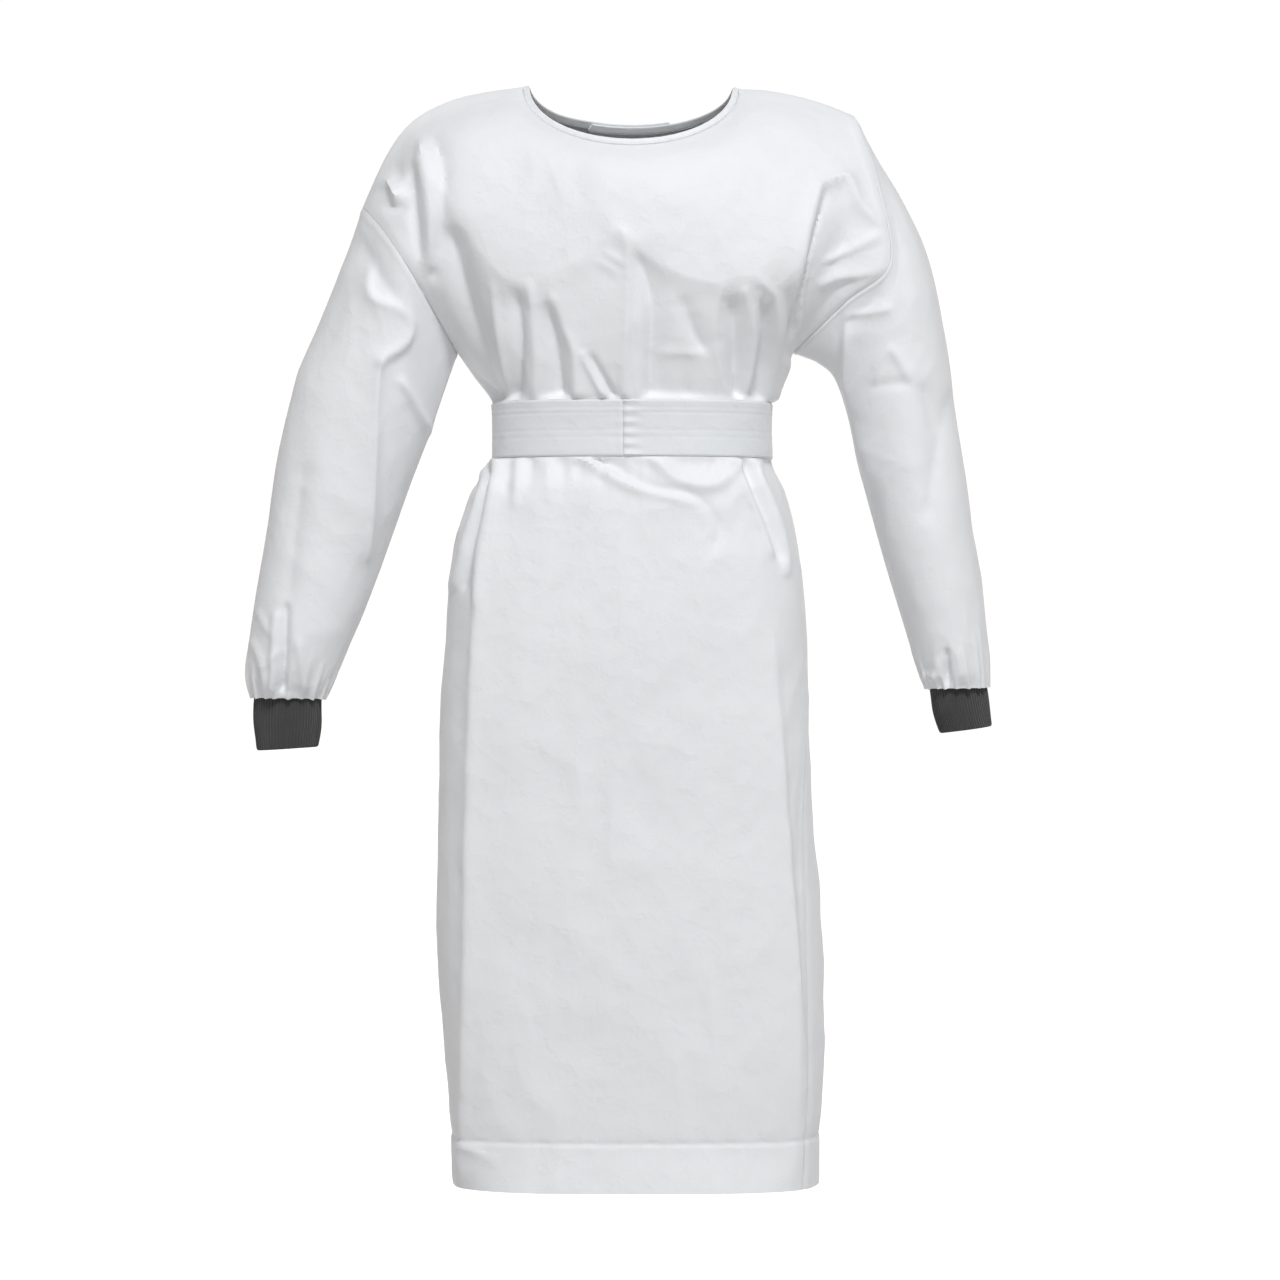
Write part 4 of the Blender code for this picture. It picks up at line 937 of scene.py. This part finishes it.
RIGHT_SLEEVE_CREASES = (
    Crease(((0.287, -0.200), (0.263, -0.238), (0.235, -0.262)), 0.014, 0.014, -0.006, -0.006, 0.3),
    Crease(((0.237, -0.251), (0.259, -0.249), (0.285, -0.244)), 0.009, 0.014, 0.0055, 0.004, 0.7),
    Crease(((0.238, -0.253), (0.241, -0.345), (0.259, -0.433)), 0.008, 0.02, 0.006, 0.005, 0.6),
    Crease(((0.266, -0.328), (0.285, -0.289), (0.309, -0.325)), 0.006, 0.01, 0.0025, 0.0025, 0.5),
    Crease(((0.266, -0.330), (0.288, -0.327), (0.310, -0.326)), 0.007, 0.007, -0.0025, -0.0025, 0.4),
    Crease(((0.322, -0.328), (0.336, -0.378)), 0.011, 0.011, -0.005, -0.004, 0.3),
    Crease(((0.352, -0.340), (0.338, -0.400), (0.325, -0.475)), 0.014, 0.014, -0.005, -0.004, 0.3),
    Crease(((0.347, -0.620), (0.348, -0.660)), 0.004, 0.004, -0.005, -0.008, 0.6),
    Crease(((0.338, -0.631), (0.333, -0.662)), 0.005, 0.004, 0.002, 0.004, 0.6),
    Crease(((0.360, -0.620), (0.364, -0.660)), 0.005, 0.006, 0.002, 0.004, 0.6),
    Crease(((0.316, -0.650), (0.340, -0.649)), 0.004, 0.005, 0.0025, 0.0025, 0.7),
)


def sleeve_ring(rings, at, angles, armhole):
    """A sleeve's or a cuff's ring, where the first ring keeps the armhole's own shape."""
    row = Ring._make(smooth_path(rings, at))
    turn = np.stack([np.cos(angles), np.sin(angles)])
    points = round_ring(row, turn)
    if armhole is not None:
        own = smooth_path(armhole, angles / math.pi * 4, closed=True)
        points = points + row.armhole * (own - round_ring(rings[0], turn))
    return points


def round_ring(row, turn):
    x = (row.outer_x + row.inner_x) / 2 + (row.outer_x - row.inner_x) / 2 * turn[0]
    z = (row.outer_z + row.inner_z) / 2 + (row.outer_z - row.inner_z) / 2 * turn[0]
    return np.column_stack([x, row.y - row.depth * turn[1], z])


def dressed_sleeve(rings, armhole, creases, seed):
    """A sleeve's points from the armhole down to its gathered end, and its cut."""
    columns = 2 * ARMHOLE_CELLS
    angles = np.arange(columns) * 2 * math.pi / columns
    rows = np.linspace(0, len(rings) - 1, SLEEVE_ROWS)
    points = np.stack([sleeve_ring(rings, at, angles, armhole) for at in rows])
    middle = points.mean(axis=1, keepdims=True)
    normals = outward(points, middle, closed=True)
    cut = cut_places(points, closed=True, first=ARMHOLE_CELLS)
    lift = relief(as_seen(points), creases)
    in_front = np.clip(-normals[..., 1] * 2, -0.6, 1)
    lift *= np.where(in_front > 0, in_front, -in_front)
    around = np.roll(cut[:, :-1], ARMHOLE_CELLS, axis=1)
    wrap = np.abs(np.arange(columns) - ARMHOLE_CELLS)[None, :] / 12
    lift += crumple(around, seed, SLEEVE_CRUMPLE) * np.clip(wrap, 0, 1)
    from_top = np.arange(SLEEVE_ROWS)[:, None]
    lift *= np.clip(from_top / 22, 0, 1) * np.clip((SLEEVE_ROWS - 1 - from_top) / 10, 0.25, 1)

    # The seam at the armhole and the one under the arm sink in between two soft rolls.
    lift += SEAM_ROLL * np.exp(-(((cut[:, :1, 1] - SEAM_ROLL_IN) / SEAM_ROLL_WIDE) ** 2))
    from_seam = np.minimum(around[..., 0], cut[..., 0].max() - around[..., 0])
    rolls = np.exp(-(((from_seam - 0.005) / SEAM_ROLL_WIDE) ** 2))
    lift += SEAM_ROLL * (rolls - 0.8 * np.exp(-((from_seam / 0.0015) ** 2)))

    # Uneven gathers into the cuff
    chance = np.random.default_rng(int(seed * 10))
    to_end = np.linalg.norm(middle - middle[-1], axis=2)
    turn = np.arange(columns)[None, :] / columns
    for pleat in range(GATHERS):
        place = (pleat + chance.uniform(-0.3, 0.3)) / GATHERS
        away = np.abs((turn - place + 0.5) % 1 - 0.5) * cut[-1, -1, 0]
        rise = GATHER_RISE * chance.uniform(0.35, 1.0)
        height = chance.uniform(0.0020, 0.0040)
        lift += height * np.clip(1 - to_end / rise, 0, 1) ** 0.8 * np.exp(-((away / GATHER_WIDE) ** 2))
    return points + normals * lift[..., None], cut


left_sleeve_points, left_sleeve_cut = dressed_sleeve(SLEEVE_LEFT, ARMHOLE_LEFT, LEFT_SLEEVE_CREASES, 2.3)
right_sleeve_points, right_sleeve_cut = dressed_sleeve(SLEEVE_RIGHT, ARMHOLE_RIGHT, RIGHT_SLEEVE_CREASES, 4.9)


# Sewing the cloth together
# Panels that meet at a seam share its points and the direction they face there. Each is then drawn in
# from the seam a little and given its thickness.
SEAM_SHARE = 0.6
UNLIKE, ALIKE = 0.45, 0.60
LAP_AT_NECK = 0.62
LAP_OPENS_OVER = 20


def share_normals(grids, normals):
    """One normal where panels meet, or each panel's own in the deep groove at an armpit."""
    met = {}
    for name, points in grids.items():
        for place, normal in zip(points.reshape(-1, 3), normals[name].reshape(-1, 3)):
            met.setdefault(tuple(np.round(place, 5)), []).append(normal.copy())
    for name, points in grids.items():
        flat = normals[name].reshape(-1, 3)
        for index, place in enumerate(points.reshape(-1, 3)):
            mean = np.mean(met[tuple(np.round(place, 5))], axis=0)
            size = np.linalg.norm(mean)
            share = np.clip((size - UNLIKE) / (ALIKE - UNLIKE), 0, 1)
            mixed = share * mean / max(size, 1e-6) + (1 - share) * flat[index]
            flat[index] = mixed / np.linalg.norm(mixed)


def parted(points, normals, closed):
    """The grid with its seamed edges drawn in by their share of the gap, square to each seam."""
    result = points.copy()

    def draw_in(edge, inner):
        tangent = np.gradient(points[edge], axis=0)
        if closed:
            tangent = np.roll(points[edge], -1, axis=0) - np.roll(points[edge], 1, axis=0)
        step = np.cross(normals[edge], tangent)
        step /= np.linalg.norm(step, axis=1, keepdims=True)
        step *= np.sign(np.sum(step * (points[inner] - points[edge]), axis=1, keepdims=True))
        result[edge] += step * SEAM_GAP * SEAM_SHARE

    draw_in(0, 1)
    if not closed:
        every = slice(None)
        draw_in((every, 0), (every, 1))
        draw_in((every, -1), (every, -2))
    return result


def centre_line(points, closed):
    return points.mean(axis=1, keepdims=True) if closed else points * (0, 0, 1)


to_lap = slice(None, back_middle + LAP_CELLS + 1)
from_lap = slice(back_middle - LAP_CELLS, None)
cloth = {
    "front": front_points,
    "back_left": back_points[:, to_lap],
    "back_right": back_points[:, from_lap],
    "sleeve_left": left_sleeve_points,
    "sleeve_right": right_sleeve_points,
}
cuts = {
    "front": front_cut,
    "back_left": back_cut[:, to_lap],
    "back_right": back_cut[:, from_lap],
    "sleeve_left": left_sleeve_cut,
    "sleeve_right": right_sleeve_cut,
}
# How each piece is cut flat: its width, its length, its area, and how it is held
Flat = namedtuple("Flat", "width length area held")
facing = {
    name: outward(points, centre_line(points, name.startswith("sleeve")), name.startswith("sleeve"))
    for name, points in cloth.items()
}
share_normals(cloth, facing)
past_lap = np.arange(back_middle + LAP_CELLS + 1) - back_middle + LAP_CELLS
lap = LAP * np.clip(past_lap / LAP_RAMP + 1, 0, 1)
# The lap is closer at the neck, where the binding holds it.
closer = LAP_AT_NECK + (1 - LAP_AT_NECK) * np.clip(np.arange(len(back_points)) / LAP_OPENS_OVER, 0, 1)
cloth["back_left"] = cloth["back_left"] + facing["back_left"] * (closer[:, None] * lap)[..., None]

for name, points in cloth.items():
    tube = name.startswith("sleeve")
    outer = parted(points, facing[name], tube)
    inner = outer - facing[name] * CLOTH_THICK
    first = ARMHOLE_CELLS if tube else 0
    piece = cloth_wall(name + "_cloth", outer, inner, cuts[name], gown_white, tube, first)
    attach(piece, "root")
    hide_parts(name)


# Cuffs
# Dark ribbed knit, sewn to the gathered end of each sleeve. It is elastic, so its ribs stand up all
# round, and its open end rolls in a little.
RIBS = 62
RIB_PITCH = 0.162 / RIBS
RIB_RISE = 0.0009
RIB_POINTS = 6
KNIT_THICK = 0.0018
KNIT_STITCH = 0.0021
KNIT_SWAY = 0.0006
EDGE_ROLL = 0.0025
CUFF_ROWS = 44

CUFF_LEFT = (
    Ring(-0.4115, -0.668, -0.3395, -0.669, 0.0265, -0.017, 0.0),
    Ring(-0.4125, -0.700, -0.3395, -0.699, 0.0265, -0.0175, 0.0),
    Ring(-0.4095, -0.730, -0.344, -0.726, 0.0245, -0.018, 0.0),
)
CUFF_RIGHT = (
    Ring(0.3885, -0.657, 0.3275, -0.658, 0.0295, -0.017, 0.0),
    Ring(0.392, -0.681, 0.331, -0.686, 0.0295, -0.0175, 0.0),
    Ring(0.3955, -0.703, 0.340, -0.711, 0.027, -0.018, 0.0),
)


def new_knit(name, dark, light):
    """Ribbed knit: small V stitches up every rib, and a little fluff."""
    material, tree, shader = new_finish(name, light, 0.9, Sheen_Weight=0.25, Sheen_Roughness=0.6)
    place = add_node(tree, "ShaderNodeTexCoord", {}, output=3)
    cut = add_node(tree, "ShaderNodeUVMap", {"uv_map": "cut"})
    around = add_node(tree, "ShaderNodeSeparateXYZ", {}, cut, output=0) * (1 / RIB_PITCH)
    down = add_node(tree, "ShaderNodeSeparateXYZ", {}, cut, output=1) * (1 / KNIT_STITCH)
    to_rib = (around.math("FRACT") - 0.5).math("ABSOLUTE")
    stitch = ((down + to_rib * 1.4).math("FRACT") - 0.5).math("ABSOLUTE")
    fluff = noise_of(tree, place, 900.0, 2.0)
    worn = noise_of(tree, place, 60.0, 3.0)
    height = stitch * 0.8 + fluff * 0.5
    bump = add_node(tree, "ShaderNodeBump", {}, Strength=0.7, Distance=0.0007, Height=height)
    # The tint varies with random wear, and is also painted shade: darker between the stitches and in the
    # fluff's hollows, where the bump sinks.
    tint_and_painted_shade = mixed(tree, stitch * 0.9 + worn * 0.45 + fluff * 0.2, dark, light)
    feed(tree, shader, Base_Color=tint_and_painted_shade, Normal=bump)
    return material


def knitted_cuff(node_name, rings, finish):
    """A tube of knit with its ribs raised, sewn to the end of a sleeve."""
    columns = RIBS * RIB_POINTS
    angles = np.arange(columns) * 2 * math.pi / columns
    places = np.linspace(0, len(rings) - 1, CUFF_ROWS)
    points = np.stack([sleeve_ring(rings, at, angles, None) for at in places])
    middle = points.mean(axis=1, keepdims=True)
    normals = outward(points, middle, closed=True)
    cut = cut_places(points, closed=True)
    to_end = np.minimum(cut[:, 0, 1], cut[-1, 0, 1] - cut[:, 0, 1])
    rib = 0.5 + 0.5 * np.cos(angles * RIBS)
    sway = KNIT_SWAY * np.sin(3 * angles[None, :] + 90 * cut[:, :1, 1])
    full = np.clip(to_end / EDGE_ROLL, 0, 1)[:, None] ** 0.5
    rise = RIB_RISE * rib[None, :] * full + sway - KNIT_SWAY * (1 - full)
    outer = points + normals * rise[..., None]
    inner = points - normals * (KNIT_THICK * (0.55 + 0.45 * full) - sway)[..., None]
    piece = cloth_wall(node_name + "_knit", outer, inner, cut, finish, closed=True)
    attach(piece, "root")
    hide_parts(node_name)


knit_grey = new_knit("knit_grey", (0.013, 0.013, 0.0125), (0.046, 0.046, 0.044))
knitted_cuff("cuff_left", CUFF_LEFT, knit_grey)
knitted_cuff("cuff_right", CUFF_RIGHT, knit_grey)


# Neck binding
# A strip of the same cloth, folded over the raw edge of the neck and stitched along its lower edge. Its
# two ends lap at the back, as the backs do.
BINDING_WIDTH = 0.0078
BINDING_THICK = 0.0024
BINDING_GAP = 0.0006
BINDING_ROWS = 14
BINDING_CELL = 0.0042
RIPPLE = 0.00025
RIPPLE_PITCH = 0.017
STITCH_DEPTH = 0.0004

binding_white = new_cloth("binding_white", (0.74, 0.755, 0.775), (0.82, 0.83, 0.845), 0.55)


def neck_edge():
    """The neck seam and the way it faces, round from the back's lap by the front and back again."""
    right = slice(0, -SHOULDER_CELLS)
    neck = slice(SHOULDER_CELLS + FRONT_NECK_CELLS - 1, SHOULDER_CELLS, -1)
    left = slice(SHOULDER_CELLS, None)
    parts = (("back_right", right), ("front", neck), ("back_left", left))
    edge = np.concatenate([cloth[name][0, columns] for name, columns in parts])
    faces = np.concatenate([facing[name][0, columns] for name, columns in parts])
    return edge, faces


def rounded_off(line, spread):
    """A row of points or directions, evened out along its length, with its two ends kept."""
    reach = 3 * spread
    share = np.exp(-0.5 * (np.arange(-reach, reach + 1) / spread) ** 2)
    share /= share.sum()
    ends = [np.repeat(line[:1], reach, axis=0), line, np.repeat(line[-1:], reach, axis=0)]
    padded = np.concatenate(ends)
    return np.column_stack([np.convolve(padded[:, axis], share, "valid") for axis in range(3)])


def folded_strip(edge, faces):
    """The strip's outside and inside: rolled over at its top, pressed flat at its stitched edge."""
    inward = -(edge - (0, NECK_BACK_OF_ORIGIN, 0)) * (1, 1, 0)
    inward /= np.linalg.norm(inward, axis=1, keepdims=True)
    lean = 0.35 + 0.55 * np.clip(np.abs(edge[:, :1]) / NECK_HALF, 0, 1) ** 2
    rise = inward * lean + np.array([0, 0, 1]) * np.sqrt(1 - lean**2)
    face = np.cross(np.gradient(edge, axis=0), rise)
    face /= np.linalg.norm(face, axis=1, keepdims=True)
    if np.sum(face * inward) > 0:
        face = -face
    high = rounded_off(edge + rise * BINDING_WIDTH, 2)
    faces = rounded_off(faces, 2)
    face = rounded_off(face, 2)
    share = np.linspace(0, 1, BINDING_ROWS)[:, None, None]
    run = np.arange(len(edge)) * BINDING_CELL
    ripple = RIPPLE * np.sin(run * 2 * math.pi / RIPPLE_PITCH + np.sin(run * 55))[None, :, None]
    low = edge + rise * BINDING_GAP
    middle = low[None] + (high - low)[None] * share
    out = (1 - share) * faces[None] + share * face[None]
    out /= np.linalg.norm(out, axis=2, keepdims=True)
    # The thickness is full along the middle and closes in a half round at the fold.
    full = np.clip((1 - share) / 0.14, 0, 1) ** 0.5 * np.clip(0.85 + share / 0.10, 0, 1)
    stitched = STITCH_DEPTH * np.exp(-(((share - 0.16) / 0.06) ** 2))
    half = BINDING_THICK / 2 * full
    return middle + out * (half - stitched + ripple * full), middle - out * half


neck, neck_faces = neck_edge()
strip_outer, strip_inner = folded_strip(neck, neck_faces)
binding = cloth_wall(
    "neck_binding_strip", strip_outer[::-1], strip_inner[::-1], cut_places(strip_outer), binding_white
)
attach(binding, "root")
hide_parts("neck_binding")


# Belt
# Doubled cloth, topstitched in rows along its length, in two halves that are joined by a seam in the
# middle of the front. It is drawn round the waist, which presses the gathers flat beneath it.
BELT_THICK = 0.0018
BELT_SEAM_X = -0.008
BELT_EDGE = 0.0008
BELT_ROWS = 40
STITCH_PITCH = 0.013
STITCH_WIDE = 0.016
BELT_CRUMPLE = 0.0007
SEAM_RIDGE = 0.0007
SEAM_DIP = 0.0008
RUCK = 0.0009
RUCKS = 5.2
# Each row of topstitching, as a share of the belt's width from its top, and how deep it pulls in
Topstitch = namedtuple("Topstitch", "share depth")
TOPSTITCHES = (
    Topstitch(0.060, 0.00035),
    Topstitch(0.135, 0.00050),
    Topstitch(0.235, 0.00060),
    Topstitch(0.540, 0.00045),
    Topstitch(0.660, 0.00045),
    Topstitch(0.940, 0.00035),
)

belt_white = new_cloth("belt_white", (0.675, 0.69, 0.71), (0.765, 0.775, 0.79), 0.60)


def belt_bed():
    """The gown's outermost points under the belt: the front, the left back and the right back."""
    drops = np.concatenate([[ARMPIT_DROP], BODY_DROPS])
    top = ARMHOLE_CELLS + int(np.argmin(np.abs(drops - BELT_TOP)))
    bottom = ARMHOLE_CELLS + int(np.argmin(np.abs(drops - BELT_BOTTOM)))
    wanted = np.linspace(BELT_TOP + BELT_EDGE, BELT_BOTTOM - BELT_EDGE, BELT_ROWS)
    heights = drops[top - ARMHOLE_CELLS : bottom - ARMHOLE_CELLS + 1]
    beds = []
    for name in ("front", "back_left", "back_right"):
        rows = cloth[name][top : bottom + 1]
        at = np.interp(wanted, heights, np.arange(len(rows)))
        low = np.minimum(at.astype(int), len(rows) - 2)
        part = (at - low)[:, None, None]
        beds.append(rows[low] * (1 - part) + rows[low + 1] * part)
    return beds


def belt_half(name, bed, puckers):
    """One half, from the seam in front to the knot behind."""
    base = bed.copy()
    step = base[:, 1] - base[:, 0]
    base[:, 0] += step / np.linalg.norm(step, axis=1, keepdims=True) * SEAM_GAP / 2
    along = np.gradient(base, axis=1) * (1, 1, 0)
    face = np.cross(along, (0, 0, 1))
    face /= np.linalg.norm(face, axis=2, keepdims=True)
    if np.sum(face * base) < 0:
        face = -face
    cut = cut_places(base)
    share = np.linspace(0, 1, BELT_ROWS)[:, None]
    from_edge = np.minimum(share, 1 - share) * (BELT_BOTTOM - BELT_TOP)
    height = BELT_THICK * (0.35 + 0.65 * np.clip(from_edge / 0.0016, 0, 1) ** 0.5)
    for row in TOPSTITCHES:
        pull = 0.75 + 0.25 * np.sin(cut[..., 0] * 2 * math.pi / STITCH_PITCH + row.share * 40)
        height = height - row.depth * pull * np.exp(-(((share - row.share) / STITCH_WIDE) ** 2))
    height = height + crumple(cut, 8.3 + puckers, BELT_CRUMPLE) * np.clip(from_edge / 0.006, 0, 1)
    from_seam = cut[..., 0]
    height = height + SEAM_RIDGE * np.exp(-(((from_seam - 0.0035) / 0.0025) ** 2))
    height = height - SEAM_DIP * np.exp(-((from_seam / 0.0016) ** 2))
    ruck = np.sin(share * 2 * math.pi * RUCKS + 1.1) * np.exp(-(((from_seam - 0.004) / 0.012) ** 2))
    height = height + RUCK * puckers * ruck
    outer = base + face * (SEAM_GAP + np.maximum(height, 0.0006))[..., None]
    piece = cloth_wall(name + "_cloth", outer, base + face * SEAM_GAP, cut, belt_white)
    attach(piece, "root")
    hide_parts(name)


front_bed, left_bed, right_bed = belt_bed()
seam_at = np.interp(BELT_SEAM_X, front_bed[1, :, 0], np.arange(front_bed.shape[1]))
before_seam = int(seam_at)
seam_share = seam_at - before_seam
seam_line = front_bed[:, before_seam] * (1 - seam_share) + front_bed[:, before_seam + 1] * seam_share
seam_line = seam_line[:, None]
knot_column = left_bed.shape[1] - 1 - LAP_CELLS
left_half = np.concatenate(
    [seam_line, front_bed[:, before_seam:0:-1], left_bed[:, : knot_column + 1]], axis=1
)
over_right = right_bed[:, : 2 * LAP_CELLS : -1]
right_half = np.concatenate(
    [seam_line, front_bed[:, before_seam + 1 :], over_right, left_bed[:, : knot_column - 1 : -1]], axis=1
)
belt_half("belt_left", left_half, 0.2)
belt_half("belt_right", right_half, 1.0)


# Knot and tails
# The belt's two ends cross behind in one plain knot and hang down the back.
KNOT_ROUNDNESS = 0.75
KNOT_WAIST = 0.18
KNOT_CREASES = 13
TAIL_CRUMPLE = 0.0006
TAIL_ROWS = 120
TAIL_COLUMNS = 30

# The belt's loose ends behind: how far each has run down, its middle, its width, and how far it stands
# off the back
Strap = namedtuple("Strap", "drop x width stand")
TAIL_LEFT = (
    Strap(0.000, -0.011, 0.020, 0.012),
    Strap(0.030, -0.016, 0.030, 0.007),
    Strap(0.080, -0.026, 0.046, 0.004),
    Strap(0.160, -0.037, 0.058, 0.003),
    Strap(0.290, -0.044, 0.060, 0.003),
)
TAIL_RIGHT = (
    Strap(0.000, 0.011, 0.020, 0.012),
    Strap(0.030, 0.016, 0.030, 0.007),
    Strap(0.080, 0.026, 0.046, 0.004),
    Strap(0.160, 0.040, 0.058, 0.003),
    Strap(0.260, 0.048, 0.060, 0.003),
)


def back_surface(x, drop):
    """How far back the outer layer of the back lies."""
    row = read_table(BODY, "drop", drop)
    across = np.abs(2 * x - row.left - row.right) / (row.right - row.left)
    return row.back * (1 - across**BACK_SQUARE) ** (1 / BACK_SQUARE) + LAP


def tied_knot(finish):
    """A knot of flat cloth: one end wraps over the other on a slant, with creases along the wrap."""
    low, high = (np.array(corner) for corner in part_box("belt_knot"))
    middle, half = (low + high) / 2, (high - low) / 2
    turns, levels = 128, 80
    angle = np.arange(turns) * 2 * math.pi / turns
    height = np.linspace(-math.pi / 2 + 0.02, math.pi / 2 - 0.02, levels)
    across, up = np.cos(height)[:, None] * np.cos(angle), np.sin(height)[:, None] * np.ones(turns)
    out = np.cos(height)[:, None] * np.sin(angle)
    ball = np.stack([across, out, up], axis=-1)
    ball = np.sign(ball) * np.abs(ball) ** KNOT_ROUNDNESS
    ball[..., 2] *= 1 - KNOT_WAIST * np.cos(math.pi * ball[..., 0] / 2) * np.abs(ball[..., 2])
    slant = ball[..., 0] * 0.8 + ball[..., 2] * 0.6
    beside = ball[..., 2] * 0.8 - ball[..., 0] * 0.6
    wrap = np.clip(1 - (np.abs(slant) / 0.55) ** 6, 0, 1)
    creases = 0.5 + 0.5 * np.sin(slant * KNOT_CREASES + np.sin(beside * 4))
    under = 0.5 + 0.5 * np.sin(beside * 10 + 1.5 * slant)
    size = 0.86 + 0.10 * wrap + wrap * 0.045 * creases + (1 - wrap) * 0.05 * under
    points = middle + half * ball * size[..., None]
    mesh = bpy.data.meshes.new("belt_knot_cloth")
    index = np.arange(levels * turns).reshape(levels, turns)
    after = np.roll(index, -1, axis=1)
    faces = np.stack([index[:-1], after[:-1], after[1:], index[1:]], axis=-1).reshape(-1, 4).tolist()
    ends = [index[0, ::-1].tolist(), index[-1].tolist()]
    mesh.from_pydata(points.reshape(-1, 3).tolist(), [], faces + ends)
    mesh.materials.append(finish)
    mesh.shade_smooth()
    made = bpy.data.objects.new("belt_knot_cloth", mesh)
    bpy.context.scene.collection.objects.link(made)
    return made


def belt_tail(name, straps, top, sway):
    """A loose end: flat doubled cloth that hangs from the knot, with one soft wave down its length."""
    rows = []
    for run in np.linspace(0, straps[-1].drop, TAIL_ROWS):
        strap = read_table(straps, "drop", run)
        share = np.linspace(-0.5, 0.5, TAIL_COLUMNS)
        x = strap.x + strap.width * share
        wave = 0.0016 * math.sin(run * 26 + sway) + 0.0010 * np.sin(share * 5 + run * 17 + sway)
        fold = 0.004 * math.exp(-run / 0.035) * np.cos(share * math.pi * 3)
        y = back_surface(x, top + run) + strap.stand + wave + fold
        rows.append(np.column_stack([x, y, np.full_like(x, -top - run)]))
    points = np.stack(rows)
    face = outward(points, points * (0, 0, 1))
    cut = cut_places(points)
    from_side = np.minimum(cut[..., 0], cut[..., 0].max() - cut[..., 0])
    thick = 0.0008 + 0.0008 * np.clip(from_side / 0.0015, 0, 1)
    for row in TOPSTITCHES:
        share = cut[..., 0] / cut[..., 0].max()
        thick = thick - 0.6 * row.depth * np.exp(-(((share - row.share) / 0.02) ** 2))
    thick = thick + crumple(cut, sway, TAIL_CRUMPLE)
    outer = points + face * np.maximum(thick, 0.0006)[..., None]
    piece = cloth_wall(name + "_cloth", outer, points, cut, belt_white)
    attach(piece, "root")
    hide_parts(name)


knot = tied_knot(belt_white)
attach(knot, "root")
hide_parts("belt_knot")
tails_top = -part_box("belt_tail_left")[1][2]
belt_tail("belt_tail_left", TAIL_LEFT, tails_top, 0.4)
belt_tail("belt_tail_right", TAIL_RIGHT, tails_top, 2.1)


# Floor and light
# A pale floor a little below the hem, as far down as a wearer's feet, under even studio light: one
# large soft lamp high in front, a little to the right, and a bright surround.
FLOOR_DROP = 1.50
FLOOR_HALF = 30
GLOW_STARTS, GLOW_FULL = 0.5, 1.5

corners = [(x * FLOOR_HALF, y * FLOOR_HALF, -FLOOR_DROP) for x, y in ((-1, -1), (1, -1), (1, 1), (-1, 1))]
floor_mesh = bpy.data.meshes.new("floor")
floor_mesh.from_pydata(corners, [], [(0, 1, 2, 3)])
floor = bpy.data.objects.new("floor", floor_mesh)
bpy.context.scene.collection.objects.link(floor)
# It brightens behind the gown into the surround, as a studio's swept backdrop does. Its emission is painted
# light: it glows dimly under and in front of the gown, and fully behind it.
floor_white, floor_tree, floor_shader = new_finish("floor_white", (0.72, 0.72, 0.72), 0.9)
floor_place = add_node(floor_tree, "ShaderNodeTexCoord", {}, output=3)
floor_back = add_node(floor_tree, "ShaderNodeSeparateXYZ", {}, floor_place, output=1)
soft_step = {"interpolation_type": "SMOOTHSTEP"}
floor_glow = add_node(floor_tree, "ShaderNodeMapRange", soft_step, floor_back, GLOW_STARTS, GLOW_FULL)
glow = mixed(floor_tree, floor_glow, (0.10, 0.10, 0.10), (0.95, 0.95, 0.95))
feed(floor_tree, floor_shader, Emission_Color=glow)
floor_shader.inputs["Emission Strength"].default_value = 1.0
floor_mesh.materials.append(floor_white)


def soft_lamp(name, place, target, size, power):
    """A square area lamp, aimed at a point."""
    lamp = bpy.data.objects.new(name, bpy.data.lights.new(name, "AREA"))
    lamp.data.size = size
    lamp.data.energy = power
    lamp.data.color = (0.955, 0.98, 1.0)
    lamp.location = place
    lamp.rotation_euler = (Vector(target) - Vector(place)).to_track_quat("-Z", "Y").to_euler()
    bpy.context.scene.collection.objects.link(lamp)


soft_lamp("key_lamp", (1.0, -5.7, 6.4), (0, 0, -0.30), 2.0, 640)

# The surround is brightest behind the gown, as a lit backdrop, and dimmer overhead.
surround = bpy.data.worlds.new("surround")
surround.use_nodes = True
sky = surround.node_tree
toward = add_node(sky, "ShaderNodeTexCoord", {}, output=0)
above = add_node(sky, "ShaderNodeSeparateXYZ", {}, toward, output=2)
behind = add_node(sky, "ShaderNodeSeparateXYZ", {}, toward, output=1)
overhead = add_node(sky, "ShaderNodeMapRange", soft_step, above, 0.20, 0.60)
backdrop = add_node(sky, "ShaderNodeMapRange", soft_step, behind, 0.80, 0.96)
brightness = 0.43 - 0.25 * overhead
brightness = brightness + (1 - brightness) * backdrop
sky_colour = mixed(sky, brightness, (0, 0, 0), (1.07, 1.035, 1.005))
sky.links.new(sky_colour.socket, sky.nodes["Background"].inputs["Color"])
bpy.context.scene.world = surround
bpy.context.scene.view_settings.view_transform = "Standard"
